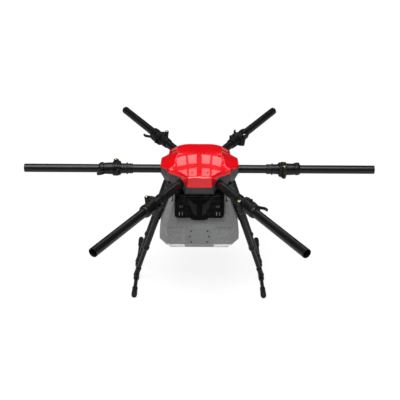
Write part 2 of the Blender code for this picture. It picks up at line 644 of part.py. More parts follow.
def build_power_board(body):
    """Board on four spacers, with six terminals and one module."""
    floor = PLATE_INNER + PLATE_THICK + GAP
    low, high = floor + BOARD_LOW, floor + BOARD_HIGH
    board = box((-BOARD_HALF_X, -BOARD_HALF_Y, low), (BOARD_HALF_X, BOARD_HALF_Y, high))
    adds = []
    for x in (-SPACER_X, SPACER_X):
        for y in (-SPACER_Y, SPACER_Y):
            adds.append(rod(SPACER_R, (x, y, floor), (x, y, floor + SPACER_HIGH), 6))
    for side in SIDES:
        for step in (-1, 0, 1):
            near = (step * TERMINAL_STEP - TERMINAL_HALF, side * TERMINAL_NEAR, floor + BOARD_PART_LOW)
            far = (step * TERMINAL_STEP + TERMINAL_HALF, side * TERMINAL_FAR, floor + TERMINAL_HIGH)
            adds.append(box(near, far))
    module_low = (-MODULE_HALF_X, -MODULE_HALF_Y, floor + BOARD_PART_LOW)
    adds.append(rounded_box(module_low, (MODULE_HALF_X, MODULE_HALF_Y, floor + MODULE_HIGH), MODULE_EDGE))
    place(baked_mesh("power_board", board, adds=adds), "board_green", body)


# ---------------------------------------------------------------- battery bay
def build_tray(body):
    half, low, high = BATTERY_HALF, BATTERY_BOTTOM, BATTERY_TOP
    outer = rounded_box((-half, BEZEL_BACK + TRAY_ROOM, low), (half, TRAY_BACK, high), TRAY_EDGE)
    wall = TRAY_WALL
    inner = box((-half + wall, -FAR, low + wall), (half - wall, TRAY_BACK - wall, high - wall))
    hangers = []
    for x in (-HANGER_X, HANGER_X):
        top = (x + HANGER_HALF, HANGER_REAR, -PLATE_INNER - PLATE_THICK - GAP)
        hangers.append(box((x - HANGER_HALF, HANGER_FRONT, high - LAP), top))
    place(baked_mesh("battery_tray", outer, adds=hangers, cuts=(inner,)), "cast_black", body)


def build_battery(body):
    """Front bezel, the pack behind it in the tray, and a grip that hangs below the bezel."""
    half, low, high = BATTERY_HALF, BATTERY_BOTTOM, BATTERY_TOP
    bezel = rounded_box((-half, BATTERY_FRONT, low), (half, BEZEL_BACK, high), BEZEL_EDGE, 2)
    room = TRAY_WALL + TRAY_ROOM
    cells = box((-half + room, BEZEL_BACK - BEZEL_LAP, low + room), (half - room, BATTERY_BACK, high - room))
    grip = extruded(GRIP_OUTLINE, -GRIP_HALF, GRIP_HALF)
    stand_up = Matrix.Translation((0, BATTERY_FRONT + GRIP_IN, low)) @ Matrix.Rotation(math.pi / 2, 4, "X")
    bmesh.ops.transform(grip, matrix=stand_up, verts=grip.verts)
    axis = axis_empty("battery_slide", body, Matrix.Translation((0, BATTERY_FRONT, (low + high) / 2)))
    place(baked_mesh("battery_pack", bezel, adds=(cells, grip)), "battery_black", body, axis)


# ---------------------------------------------------------------- tank
def tank_section(level, shrink=0.0):
    """Eight-sided section of the tank at one height, drawn in by the wall thickness where asked."""
    z, half, front, rear, cut_x, cut_y = level
    x, y0, y1 = half - shrink, front + shrink, rear - shrink
    return [
        (-x + cut_x, y0, z), (x - cut_x, y0, z), (x, y0 + cut_y, z), (x, y1 - REAR_CUT, z),
        (x - REAR_CUT, y1, z), (-x + REAR_CUT, y1, z), (-x, y1 - REAR_CUT, z), (-x, y0 + cut_y, z),
    ]


def tank_rooms(wall=0.0):
    """What the outside is drawn in by: the rear step, the battery bay and the room for its grip."""
    bay_half = BATTERY_HALF + BAY_SIDE_ROOM + wall
    bay_floor = BATTERY_BOTTOM - BAY_FLOOR_ROOM
    return (
        box((-FAR, DECK_Y - wall, DECK_Z - wall), (FAR, FAR, 0)),
        box((-bay_half, -FAR, bay_floor - wall), (bay_half, BAY_REAR + wall, 0)),
        box((-GRIP_ROOM_HALF - wall, -FAR, bay_floor - GRIP_ROOM_DEEP - wall),
            (GRIP_ROOM_HALF + wall, GRIP_ROOM_REAR + wall, bay_floor + LAP)),
    )


def rail_grooves():
    """Slots in the tank's top that the hanger rails run in."""
    grooves = []
    near, low = -RAIL_HALF - RAIL_ROOM, RAIL_END_Z - RAIL_ROOM
    for side in SIDES:
        grooves.append(rail_box(side, near, RAIL_HALF * 2, -FAR, FAR, low, 0))
        far, roof = RAIL_LIP + RAIL_ROOM, RAIL_END_Z + RAIL_THICK + GROOVE_TOP_ROOM
        grooves.append(rail_box(side, near, far, -FAR, FAR, low, roof))
    return grooves


def tank_chamber():
    """The hollow for the liquid, which follows the outside a wall's thickness in."""
    floor = (TANK_FLOOR + TANK_WALL, *TANK_LEVELS[0][1:])
    levels = (floor, *TANK_LEVELS[1:-1], CHAMBER_SHOULDER)
    inside = capped_loft([tank_section(level, TANK_WALL) for level in levels])
    return bmesh_of(baked_mesh("chamber", inside, cuts=tank_rooms(TANK_WALL)))


def tank():
    outer = capped_loft([tank_section(level) for level in TANK_LEVELS])
    neck = rod(NECK_R, (0, NECK_Y, DECK_Z - NECK_LAP), (0, NECK_Y, DECK_Z + NECK_HIGH), 20)
    outlet = rod(OUTLET_R, (0, TANK_REAR - OUTLET_LAP, OUTLET_Z), (0, TANK_REAR + OUTLET_OUT, OUTLET_Z), 12)
    outside = baked_mesh("outside", outer, cuts=(*tank_rooms(), *rail_grooves()), rebuild=(neck, outlet))
    neck_bore = rod(NECK_BORE, (0, NECK_Y, DECK_Z - NECK_CUT), (0, NECK_Y, 0), 20)
    return baked_mesh("tank", bmesh_of(outside), cuts=(tank_chamber(), neck_bore), sharp=25)


def tank_cap():
    """Screw cap over the neck, with grip ribs round its rim."""
    height = CAP_LID_TOP - CAP_LID_LOW
    bore, roof = NECK_R + CAP_LID_GAP, height - CAP_LID_ROOF
    profile = [
        (height, 0), (height, CAP_LID_R - CAP_LID_EDGE), (height - CAP_LID_EDGE, CAP_LID_R),
        (0, CAP_LID_R), (0, bore), (roof, bore), (roof, 0),
    ]
    lid = turned(profile, 20, (0, NECK_Y, CAP_LID_LOW), (0, NECK_Y, 1))
    ribs = []
    for step in range(LID_GRIPS):
        angle = 2 * math.pi * step / LID_GRIPS
        reach = CAP_LID_R - LAP
        x, y = reach * math.cos(angle), NECK_Y + reach * math.sin(angle)
        ribs.append(rod(LID_GRIP_R, (x, y, CAP_LID_LOW + LID_GRIP_LOW), (x, y, CAP_LID_TOP - LID_GRIP_TOP), 6))
    return baked_mesh("tank_cap", lid, adds=ribs)


def cap_seal():
    low, high = DECK_Z + NECK_HIGH + GAP, CAP_LID_TOP - CAP_LID_ROOF - GAP
    ring = tube(NECK_R - SEAL_ROOM, NECK_BORE, (0, NECK_Y, low), (0, NECK_Y, high), 20)
    return baked_mesh("cap_seal", ring)


def build_tank(body):
    slide = axis_empty("tank_slide", body, Matrix.Translation((0, 0, TANK_TOP)))
    place(tank(), "tank_grey", body, slide)
    cap_axis = axis_empty("cap_axis", slide, Matrix.Translation((0, NECK_Y, CAP_LID_LOW - TANK_TOP)))
    place(tank_cap(), "cast_black", body, cap_axis)
    place(cap_seal(), "rubber", body, cap_axis)


# ---------------------------------------------------------------- landing gear
def leg_line(end, side):
    """The top and foot of a leg's axis."""
    mirror = Vector((side, 1, 1))
    return Vector(LEG_TOPS[end]) * mirror, Vector(LEG_FEET[end]) * mirror


def at_height(line, z):
    start, stop = line
    return start + (stop - start) * ((z - start.z) / (stop.z - start.z))


def leg(name, line):
    """Upper tube, clamp collar and thinner lower tube, in one line."""
    start, stop = at_height(line, LEG_START_Z), at_height(line, LEG_END_Z)
    length = (stop - start).length
    collar = (at_height(line, COLLAR_Z) - start).length
    collar_end = collar + COLLAR_DOWN
    profile = [
        (0, 0), (0, LEG_R), (collar - COLLAR_UP, LEG_R), (collar - COLLAR_UP, LEG_COLLAR_R),
        (collar_end, LEG_COLLAR_R), (collar_end + COLLAR_EDGE, LEG_COLLAR_R - COLLAR_CHAMFER),
        (collar_end + COLLAR_EDGE, LEG_LOWER_R), (length, LEG_LOWER_R), (length, 0),
    ]
    return baked_mesh(name, turned(profile[::-1], LEG_SEGMENTS, start, stop))


def skid_tee(name, line, side):
    """Sleeve on the skid tube with an upright socket for the leg."""
    centre = Vector((side * SKID_X, at_height(line, SKID_Z).y, SKID_Z))
    reach = Vector((0, TEE_HALF, 0))
    grip = rod(TEE_R, centre - reach, centre + reach, LEG_SEGMENTS)
    upright = rod(TEE_R, at_height(line, SKID_Z + TEE_LAP), at_height(line, SKID_Z + TEE_HIGH), LEG_SEGMENTS)
    skid_bore = rod(SKID_R + GAP, centre - 2 * reach, centre + 2 * reach, LEG_SEGMENTS)
    start, stop = at_height(line, LEG_END_Z - TEE_FLOOR_ROOM), at_height(line, SKID_Z + TEE_HIGH + TEE_CUT)
    leg_bore = rod(LEG_LOWER_R + GAP, start, stop, LEG_SEGMENTS)
    return baked_mesh(name, grip, adds=(upright,), cuts=(skid_bore, leg_bore))


def skid_cap(name, side, way):
    """Boot with a flared body and a round end, closed over the end of the skid tube."""
    rim = CAP_R / math.cos(math.pi / LEG_SEGMENTS)
    profile = [(CAP_CENTRE + CAP_R, 0)]
    for degrees in (60, 30):
        angle = math.radians(degrees)
        profile.append((CAP_CENTRE + CAP_R * math.sin(angle), rim * math.cos(angle)))
    floor, bore = SKID_HALF + GAP, SKID_R + GAP
    profile += [(CAP_CENTRE, rim), (CAP_FLARE, rim), (CAP_START, CAP_MOUTH_R)]
    profile += [(CAP_START, bore), (floor, bore), (floor, 0)]
    x = side * SKID_X
    return baked_mesh(name, turned(profile, LEG_SEGMENTS, (x, 0, SKID_Z), (x, way, SKID_Z)))


def build_landing_gear(body):
    for side, label in zip(SIDES, ("left", "right")):
        for end, way in ENDS.items():
            line = leg_line(end, side)
            place(leg(f"leg_{end}_{label}", line), "carbon", body)
            place(skid_tee(f"skid_tee_{end}_{label}", line, side), "cast_black", body)
            place(skid_cap(f"skid_cap_{end}_{label}", side, way), "rubber", body)
        front, rear = (side * SKID_X, -SKID_HALF, SKID_Z), (side * SKID_X, SKID_HALF, SKID_Z)
        skid = tube(SKID_R, SKID_R - SKID_WALL, front, rear, LEG_SEGMENTS)
        place(baked_mesh(f"skid_tube_{label}", skid), "carbon", body)


# ---------------------------------------------------------------- assembly
clear_scene()
PARTS = collection("agricultural_spray_drone")
CUTTERS = collection("cutters")

body_frame = axis_empty("body_frame", None, Matrix.Translation((0, 0, ARM_PLANE)))
build_arms()
build_canopy(body_frame)
build_lower_shell(body_frame)
build_upper_plate(body_frame)
build_lower_frame(body_frame)
build_power_board(body_frame)
build_tray(body_frame)
build_battery(body_frame)
build_tank(body_frame)
build_landing_gear(body_frame)
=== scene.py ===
"""Six-arm agricultural spray drone in a pale studio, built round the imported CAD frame.

Metres, +Z up, nose to -Y, ground at z = 0. The pieces of an arm are modelled once along +X with the arm's
axis at z = 0, and each arm object turns them to its own bearing.
"""

import json
import math

import bmesh
import bpy
from mathutils import Matrix, Vector

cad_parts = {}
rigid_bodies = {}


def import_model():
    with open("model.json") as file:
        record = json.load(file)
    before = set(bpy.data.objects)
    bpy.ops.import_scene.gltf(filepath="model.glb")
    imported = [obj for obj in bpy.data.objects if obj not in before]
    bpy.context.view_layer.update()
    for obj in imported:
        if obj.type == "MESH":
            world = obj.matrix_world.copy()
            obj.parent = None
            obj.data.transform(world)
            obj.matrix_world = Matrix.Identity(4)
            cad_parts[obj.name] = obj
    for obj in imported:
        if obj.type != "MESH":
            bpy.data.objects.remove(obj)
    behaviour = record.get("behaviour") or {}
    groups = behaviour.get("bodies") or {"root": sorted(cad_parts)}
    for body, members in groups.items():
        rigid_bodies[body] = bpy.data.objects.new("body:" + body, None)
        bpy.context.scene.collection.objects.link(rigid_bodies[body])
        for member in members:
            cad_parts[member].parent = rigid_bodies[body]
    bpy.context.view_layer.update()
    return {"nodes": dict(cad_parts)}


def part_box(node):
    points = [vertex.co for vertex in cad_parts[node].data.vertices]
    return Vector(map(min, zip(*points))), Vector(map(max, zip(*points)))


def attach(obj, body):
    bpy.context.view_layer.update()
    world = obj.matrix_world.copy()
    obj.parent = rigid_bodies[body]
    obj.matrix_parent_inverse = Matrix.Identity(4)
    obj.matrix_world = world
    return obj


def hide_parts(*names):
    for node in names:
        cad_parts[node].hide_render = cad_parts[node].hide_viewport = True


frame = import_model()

# ------------ dimensions shared with the CAD model
ARM_PLANE = 0.570
ARM_NAMES = ("right", "rear_right", "rear_left", "left", "front_left", "front_right")
ARM_STEP = math.radians(60)
TUBE_R, TUBE_WALL = 0.020, 0.0015
ROOT_TUBE = (0.062, 0.3865)
ARM_TUBE = (0.410, 0.825)
HINGE_X, HINGE_Y = 0.397, -0.031
HINGE_TILT = math.radians(8)
KNUCKLE_R, PIN_R = 0.0105, 0.0040
BARREL_HALF, BARREL_ROOM, KNUCKLE_HALF = 0.0118, 0.0013, 0.031
LATCH_X, LATCH_Y = 0.384, 0.036
LEVER_LINE = (
    (0.384, 0.0362, 0.0045), (0.400, 0.0392, 0.0045), (0.414, 0.0392, 0.0045),
    (0.428, 0.0375, 0.0040), (0.438, 0.0390, 0.0036), (0.447, 0.0450, 0.0034),
    (0.455, 0.0525, 0.0034), (0.464, 0.0565, 0.0034), (0.478, 0.0575, 0.0028),
)
BODY_OUTLINE = (    # x, y, seam, shoulder, crease radius
    (0.0000, -0.186, 0.000, 0.045, 0.176),
    (0.0535, -0.186, 0.000, 0.045, 0.183),
    (0.0870, -0.152, 0.034, 0.047, 0.167),
    (0.1400, -0.118, 0.036, 0.052, 0.164),
    (0.1520, -0.082, 0.036, 0.048, 0.133),
    (0.1820, -0.048, 0.034, 0.044, 0.112),
    (0.1820, 0.0000, 0.030, 0.040, 0.104),
    (0.1820, 0.0440, 0.026, 0.036, 0.106),
    (0.1490, 0.0880, 0.025, 0.034, 0.121),
    (0.1470, 0.1350, 0.024, 0.034, 0.137),
    (0.0995, 0.1600, 0.024, 0.036, 0.127),
    (0.0520, 0.1850, 0.024, 0.037, 0.112),
    (0.0000, 0.1850, 0.024, 0.037, 0.106),
)
SHOULDER_SCALE, NOSE_SPREAD, NOSE_FOOT_Y = 0.992, 1.245, -0.1805
SHELL_FLOOR, SHELL_FOOT_SCALE = -0.040, 0.90
CROWN_SCREWS_X, CROWN_SCREWS_Y = (-0.035, 0.035), -0.148
NOSE_LATCHES_Y = (-0.051, 0.051)
GROMMETS_OUT = (0.1805, 0.1800, 0.1800, 0.1805, 0.1700, 0.1700)    # in the order of ARM_NAMES
BATTERY_HALF, BATTERY_TOP, BATTERY_BOTTOM = 0.1105, -0.0485, -0.1525
BATTERY_ROUND = {"top": 0.0048, "bottom": 0.012}
BATTERY_FACE, BEZEL_BACK, BATTERY_BACK = -0.200, -0.181, -0.0455
LOUVRES, LOUVRE_PITCH, LOUVRE_SLOPE, LOUVRE_WIDE = 8, 0.0100, 0.78, 0.0042
TANK_FACE, FILLER_Y = -0.200, 0.124
LEG_TOPS = {"front": (0.146, -0.098, -0.050), "rear": (0.146, 0.036, -0.050)}
LEG_FEET = {"front": (0.311, -0.089, -0.545), "rear": (0.311, 0.027, -0.545)}
LEG_SHOWN_FROM = -0.0610    # the height at which the leg pieces start
SIDES = {"left": -1, "right": 1}
SKID_X, SKID_Z, SKID_R, SKID_WALL, SKID_HALF = 0.311, -0.556, 0.0095, 0.0015, 0.245

LIFT = Matrix.Translation((0, 0, ARM_PLANE))
FOLD = Matrix.Translation((HINGE_X, HINGE_Y, 0)) @ Matrix.Rotation(HINGE_TILT, 4, "X")
LATCH = Matrix.Translation((LATCH_X, LATCH_Y, 0))
X_TO_Y = Matrix.Rotation(math.pi / 2, 4, "Z")
# a slab's outline and heights turned: (y, z) with heights along X, and (x, z) with heights towards the nose
ACROSS_ARM = Matrix(((0, 0, 1, 0), (1, 0, 0, 0), (0, 1, 0, 0), (0, 0, 0, 1)))
FACING_NOSE = Matrix(((1, 0, 0, 0), (0, 0, -1, 0), (0, 1, 0, 0), (0, 0, 0, 1)))
SEGMENTS = 64


def x_to_z(sign=1):
    """Turns the X axis upwards, or downwards for -1."""
    return Matrix.Rotation(-sign * math.pi / 2, 4, "Y")


def to_arm(index):
    """Turns the X axis to an arm's bearing."""
    return Matrix.Rotation(index * ARM_STEP, 4, "Z")


# ------------ mesh helpers
def freed(bm, name):
    """The bmesh as a mesh."""
    mesh = bpy.data.meshes.new(name)
    bm.to_mesh(mesh)
    bm.free()
    return mesh


def linked(name, data):
    """A new object in the scene."""
    obj = bpy.data.objects.new(name, data)
    bpy.context.scene.collection.objects.link(obj)
    return obj


def shade_evenly(obj):
    shading = obj.modifiers.new("shading", "WEIGHTED_NORMAL")
    shading.keep_sharp, shading.weight = True, 60


class Shape:
    """Collects solids into one mesh."""

    def __init__(self):
        self.bm = bmesh.new()

    def take(self, part, matrix=Matrix()):
        mesh = freed(part, "part")
        mesh.transform(matrix)
        if matrix.determinant() < 0:
            mesh.flip_normals()
        self.bm.from_mesh(mesh)
        bpy.data.meshes.remove(mesh)
        return self

    def mesh(self, name, sharp=38):
        bmesh.ops.remove_doubles(self.bm, verts=self.bm.verts, dist=1e-7)
        limit = math.radians(sharp)
        for face in self.bm.faces:
            face.smooth = True
        for edge in self.bm.edges:
            edge.smooth = edge.is_manifold and edge.calc_face_angle(0.0) < limit
        return freed(self.bm, name)


def round_edges(bm, edges, width, segments):
    settings = {"profile": 0.5, "affect": "EDGES", "clamp_overlap": True}
    bmesh.ops.bevel(bm, geom=edges, offset=width, segments=segments, **settings)


def bevelled(bm, width, segments=3, angle=25):
    """The solid with outward normals and its edges rounded."""
    bmesh.ops.recalc_face_normals(bm, faces=bm.faces)
    if width:
        limit = math.radians(angle)
        sharp = [edge for edge in bm.edges if edge.is_manifold and edge.calc_face_angle(0.0) > limit]
        round_edges(bm, sharp, width, segments)
    return bm


def block(low, high, bevel, segments=3):
    bm = bmesh.new()
    bmesh.ops.create_cube(bm, size=1)
    low, high = Vector(low), Vector(high)
    middle, size = (low + high) / 2, high - low
    for vert in bm.verts:
        vert.co = Vector((vert.co.x * size.x, vert.co.y * size.y, vert.co.z * size.z)) + middle
    return bevelled(bm, bevel, segments)


def lathe(profile, segments=SEGMENTS, closed=False, shape=None):
    """A profile of (x, radius) turned about the X axis. shape(ring, angle) scales a point's radius."""
    bm = bmesh.new()
    rings = []
    for index, (x, radius) in enumerate(profile):
        if radius < 1e-7:
            rings.append([bm.verts.new((x, 0, 0))])
            continue
        ring = []
        for step in range(segments):
            angle = 2 * math.pi * step / segments
            reach = radius * (shape(index, angle) if shape else 1)
            ring.append(bm.verts.new((x, reach * math.cos(angle), reach * math.sin(angle))))
        rings.append(ring)
    pairs = list(zip(rings, rings[1:])) + ([(rings[-1], rings[0])] if closed else [])
    for first, second in pairs:
        for step in range(segments):
            near, far = step % len(first), step % len(second)
            near_next, far_next = (step + 1) % len(first), (step + 1) % len(second)
            corners = dict.fromkeys((first[near], second[far], second[far_next], first[near_next]))
            if len(corners) > 2:    # a ring on the axis is a single point
                bm.faces.new(corners)
    for ring in (rings[0], rings[-1]):
        if len(ring) > 1 and not closed:
            bm.faces.new(ring)
    bmesh.ops.recalc_face_normals(bm, faces=bm.faces)
    return bm


def rounded_profile(points, radius):
    """The same open profile with its inner corners rounded in three steps."""
    found = [points[0]]
    for before, corner, after in zip(points, points[1:], points[2:]):
        b, c, a = Vector(before), Vector(corner), Vector(after)
        near = min(radius, (b - c).length * 0.45, (a - c).length * 0.45)
        start, stop = c + (b - c).normalized() * near, c + (a - c).normalized() * near
        for t in (0, 1 / 3, 2 / 3, 1):
            found.append(tuple(start.lerp(c, t).lerp(c.lerp(stop, t), t)))
    return [*found, points[-1]]


def turned(points, radius, segments=SEGMENTS):
    """A solid of revolution with rounded corners. The profile starts and ends on the axis."""
    return lathe(rounded_profile(points, radius), segments)


def fluted(count, depth, power, first, last):
    """For lathe: flutes cut into the rings from first to last."""
    def scale(ring, angle):
        return 1 - depth * (0.5 - 0.5 * math.cos(count * angle)) ** power if first <= ring <= last else 1.0
    return scale


def disc(start, stop, outer, radius, segments):
    """A round bar along X with rounded rims."""
    return turned([(start, 0), (start, outer), (stop, outer), (stop, 0)], radius, segments)


def ring_solid(x0, x1, inner, outer, radius=0.0005, segments=SEGMENTS):
    """A tube with rounded rims."""
    r = min(radius, (outer - inner) * 0.4)
    bend = ((r, 0), (r * 0.3, r * 0.3), (0, r))
    profile = [(x1 - x, outer - y) for x, y in bend] + [(x1 - x, inner + y) for x, y in bend[::-1]]
    profile += [(x0 + x, inner + y) for x, y in bend] + [(x0 + x, outer - y) for x, y in bend[::-1]]
    return lathe(profile, segments, closed=True)


def join_rings(bm, first, second):
    for index in range(len(first)):
        after = (index + 1) % len(first)
        bm.faces.new((first[index], first[after], second[after], second[index]))


def slab(points, low, high, bevel, segments=3):
    """An outline in XY between two heights."""
    bm = bmesh.new()
    bottom = [bm.verts.new((x, y, low)) for x, y in points]
    top = [bm.verts.new((x, y, high)) for x, y in points]
    bm.faces.new(bottom[::-1])
    bm.faces.new(top)
    join_rings(bm, bottom, top)
    return bevelled(bm, bevel, segments)


def lofted(rings, top=None):
    """Quads between rings of points. top closes the last ring to a point."""
    bm = bmesh.new()
    made = [[bm.verts.new(point) for point in ring] for ring in rings]
    for first, second in zip(made, made[1:]):
        join_rings(bm, first, second)
    if top is not None:
        tip, last = bm.verts.new(top), made[-1]
        for vert, after in zip(last, [*last[1:], last[0]]):
            bm.faces.new((vert, after, tip))
    bmesh.ops.recalc_face_normals(bm, faces=bm.faces)
    return bm


def thickened(bm, wall):
    """The surface with a second skin wall inside it, and its open rims closed."""
    helper = linked("skin", freed(bm, "skin"))
    solid = helper.modifiers.new("wall", "SOLIDIFY")
    solid.thickness, solid.offset, solid.use_even_offset = wall, -1, True
    return evaluated(helper)


def evaluated(helper):
    """The helper's mesh with its modifiers applied. The helper is removed."""
    graph = bpy.context.evaluated_depsgraph_get()
    mesh = bpy.data.meshes.new_from_object(helper.evaluated_get(graph))
    bm = bmesh.new()
    bm.from_mesh(mesh)
    bpy.data.batch_remove((helper, helper.data, mesh))
    return bm


def cut(base, cutters):
    """The base less the cutters."""
    helpers = [linked("solid", freed(bm, "solid")) for bm in (base, *cutters)]
    for cutter in helpers[1:]:
        modifier = helpers[0].modifiers.new("cut", "BOOLEAN")
        modifier.operation, modifier.object, modifier.solver = "DIFFERENCE", cutter, "EXACT"
    bm = evaluated(helpers[0])
    for cutter in helpers[1:]:
        bpy.data.batch_remove((cutter, cutter.data))
    return bm


def facing(point, normal, up="Z"):
    """A frame at the point, with its X axis along the normal."""
    return Matrix.Translation(point) @ Vector(normal).to_track_quat("X", up).to_matrix().to_4x4()


def along(start, stop):
    return facing(start, stop - start)


def cap_screw(radius, height):
    """Socket-head screw standing on the plane x = 0, with a hexagonal recess."""
    def hexagon(ring, angle):
        flat = math.cos(math.pi / 6) / math.cos(angle % (math.pi / 3) - math.pi / 6)
        return flat if ring >= 4 else 1.0

    profile = [
        (-0.0004, 0), (-0.0004, radius), (height * 0.8, radius), (height, radius * 0.84),
        (height, radius * 0.56), (height * 0.45, radius * 0.54), (height * 0.40, 0),
    ]
    return lathe(profile, 24, shape=hexagon)


def piece(name, made, material, body, slot, replaces=(), matrix=LIFT):
    """A visible piece, from a Shape or a mesh. Its heights start at the arm plane if no matrix is given."""
    mesh = made.mesh(name) if isinstance(made, Shape) else made
    obj = linked(name, mesh)
    if not mesh.materials:
        mesh.materials.append(material)
    shade_evenly(obj)
    obj.matrix_world = matrix
    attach(obj, body)
    if replaces:
        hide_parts(*replaces)


# ------------ material helpers
def is_socket(value):
    return isinstance(value, bpy.types.NodeSocket)


class Wiring:
    """Short ways to wire a node tree."""

    def __init__(self, tree):
        self.tree = tree

    def node(self, kind, *inputs, **settings):
        made = self.tree.nodes.new("ShaderNode" + kind)
        for key, value in settings.items():
            setattr(made, key, value)
        for index, value in enumerate(inputs):
            if is_socket(value):
                self.tree.links.new(value, made.inputs[index])
            elif value is not None:
                made.inputs[index].default_value = value
        return made

    def math(self, operation, *inputs):
        return self.node("Math", *inputs, operation=operation).outputs[0]

    def band(self, value, low, high, to_low=0.0, to_high=1.0, **settings):
        return self.node("MapRange", value, low, high, to_low, to_high, **settings).outputs["Result"]


class Paint(Wiring):
    """A Principled material."""

    def __init__(self, name, **sockets):
        self.material = bpy.data.materials.new(name)
        self.material.use_nodes = True
        super().__init__(self.material.node_tree)
        self.shader = self.tree.nodes["Principled BSDF"]
        for socket, value in sockets.items():
            self.shader.inputs[socket.replace("_", " ")].default_value = value
        self.coordinates = self.node("TexCoord").outputs["Object"]

    def noise(self, scale, detail, stretch=None):
        place = self.coordinates
        if stretch:
            place = self.node("Mapping", place, None, None, stretch).outputs[0]
        return self.node("TexNoise", place, None, scale, detail, 0.55).outputs["Fac"]

    def blend(self, factor, first, second):
        colours = [value if is_socket(value) else (*value, 1) for value in (first, second)]
        return self.node("Mix", factor, *[None] * 5, *colours, data_type="RGBA").outputs[2]

    def feed(self, socket, value):
        self.tree.links.new(value, self.shader.inputs[socket])

    def gloss(self, scale, detail, low, high):
        """Roughness that wanders between two values."""
        self.feed("Roughness", self.band(self.noise(scale, detail), 0.3, 0.7, low, high))

    def bump(self, height, distance, strength):
        """Adds to the bumps that are there."""
        made = self.node("Bump")
        made.inputs["Strength"].default_value = strength
        made.inputs["Distance"].default_value = distance
        self.tree.links.new(height, made.inputs["Height"])
        if self.shader.inputs["Normal"].is_linked:
            self.tree.links.new(self.shader.inputs["Normal"].links[0].from_socket, made.inputs["Normal"])
        self.feed("Normal", made.outputs["Normal"])

    def grain(self, scale, detail, distance, strength):
        self.bump(self.noise(scale, detail), distance, strength)

    def edges(self, low=0.53, high=0.62):
        """1 on convex edges, broken up by noise."""
        point = self.node("NewGeometry").outputs["Pointiness"]
        worn = self.band(point, low, high)
        patchy = self.band(self.noise(60, 4), 0.42, 0.62)
        return self.math("MULTIPLY", worn, patchy)


def grey(level):
    return (level, level, level)


def moulded(name, base, rough, grain=1400, grain_depth=0.00006, wear=grey(0.12), **more):
    """Moulded plastic or coated metal: fine grain, uneven gloss, a little dust and rubbed edges."""
    n = Paint(name, **{"Specular_IOR_Level": 0.28, **more})
    light = tuple(min(1.0, channel * 1.22 + 0.002) for channel in base)
    colour = n.blend(n.band(n.noise(9, 4), 0.35, 0.65), base, light)
    n.feed("Base Color", n.blend(n.math("MULTIPLY", n.edges(), 0.55), colour, wear))
    n.gloss(26, 5, rough - 0.07, rough + 0.07)
    n.grain(grain, 2, grain_depth, 0.8)
    return n.material


def carbon(name, tow=0.0022, around=None):
    """2x2 twill under clear resin. around is a tube's radius, or None for a flat sheet in XY."""
    n = Paint(name, IOR=1.5, Specular_IOR_Level=0.20, Coat_Weight=0.25, Coat_Roughness=0.10)
    split = n.node("SeparateXYZ", n.coordinates).outputs
    u = n.math("DIVIDE", split["X"], tow)
    if around:
        turns = round(2 * math.pi * around / tow / 4) * 4
        angle = n.math("ARCTAN2", split["Z"], split["Y"])
        v = n.math("MULTIPLY", angle, turns / (2 * math.pi))
    else:
        v = n.math("DIVIDE", split["Y"], tow)
    step = n.math("ADD", n.math("FLOOR", u), n.math("FLOOR", v))
    over = n.math("LESS_THAN", n.math("FLOORED_MODULO", step, 4.0), 2.0)
    crown_u = n.math("ABSOLUTE", n.math("SINE", n.math("MULTIPLY", u, math.pi)))
    crown_v = n.math("ABSOLUTE", n.math("SINE", n.math("MULTIPLY", v, math.pi)))
    under = n.math("MULTIPLY", n.math("SUBTRACT", 1.0, over), crown_u)
    rise = n.math("ADD", n.math("MULTIPLY", over, crown_v), under)
    # Painted sheen: the tows that lie over are coloured lighter, standing in for the highlight their fibres
    # catch; the twill pattern itself is real
    colour = n.blend(over, (0.0035, 0.0036, 0.0040), (0.0105, 0.0107, 0.0112))
    colour = n.blend(n.band(n.noise(14, 3), 0.35, 0.7), colour, (0.010, 0.0102, 0.0108))
    n.feed("Base Color", colour)
    sheen = n.band(n.noise(40, 4), 0.3, 0.7, -0.04, 0.04)
    n.feed("Roughness", n.math("ADD", n.math("MULTIPLY_ADD", over, 0.10, 0.26), sheen))
    n.bump(rise, 0.00009, 0.5)
    n.grain(300, 3, 0.00004, 0.35)
    return n.material


# ------------ materials
def canopy_paint():
    lacquer = {"Coat_Weight": 1.0, "Coat_Roughness": 0.03, "Coat_IOR": 1.5}
    n = Paint("red_gloss", IOR=1.5, Specular_IOR_Level=0.15, **lacquer)
    colour = n.blend(n.band(n.noise(5, 3), 0.3, 0.7), (0.83, 0.0003, 0.0060), (0.89, 0.0008, 0.0090))
    worn = n.math("MULTIPLY", n.edges(0.55, 0.70), 0.12)
    n.feed("Base Color", n.blend(worn, colour, (0.95, 0.10, 0.10)))
    n.gloss(18, 5, 0.16, 0.24)
    n.grain(70, 2, 0.00010, 0.25)
    n.grain(900, 2, 0.00002, 0.35)
    return n.material


def tank_plastic():
    n = Paint("tank_grey", IOR=1.48, Subsurface_Weight=0.08, Subsurface_Scale=0.01)
    colour = n.blend(n.band(n.noise(7, 5), 0.3, 0.7), (0.218, 0.220, 0.221), (0.223, 0.225, 0.226))
    n.feed("Base Color", n.blend(n.math("MULTIPLY", n.edges(), 0.4), colour, grey(0.42)))
    n.gloss(22, 4, 0.46, 0.52)
    n.grain(650, 3, 0.00008, 0.6)
    n.grain(12, 2, 0.0010, 0.05)
    return n.material


def bare_metal(name, metallic, scale, pale, dark, gloss):
    n = Paint(name, Metallic=metallic)
    n.feed("Base Color", n.blend(n.band(n.noise(scale, 4), 0.35, 0.7), pale, dark))
    n.gloss(300, 3, *gloss)
    return n


def brass_metal():
    n = bare_metal("brass", 1.0, 160, (0.86, 0.66, 0.34), (0.70, 0.50, 0.24), (0.16, 0.32))
    n.bump(n.noise(1500, 2, stretch=(1, 1, 0.06)), 0.00002, 0.5)
    return n.material


def steel_metal():
    n = bare_metal("dark_steel", 0.9, 200, (0.10, 0.10, 0.105), (0.06, 0.06, 0.064), (0.28, 0.42))
    n.grain(2200, 2, 0.00002, 0.5)
    return n.material


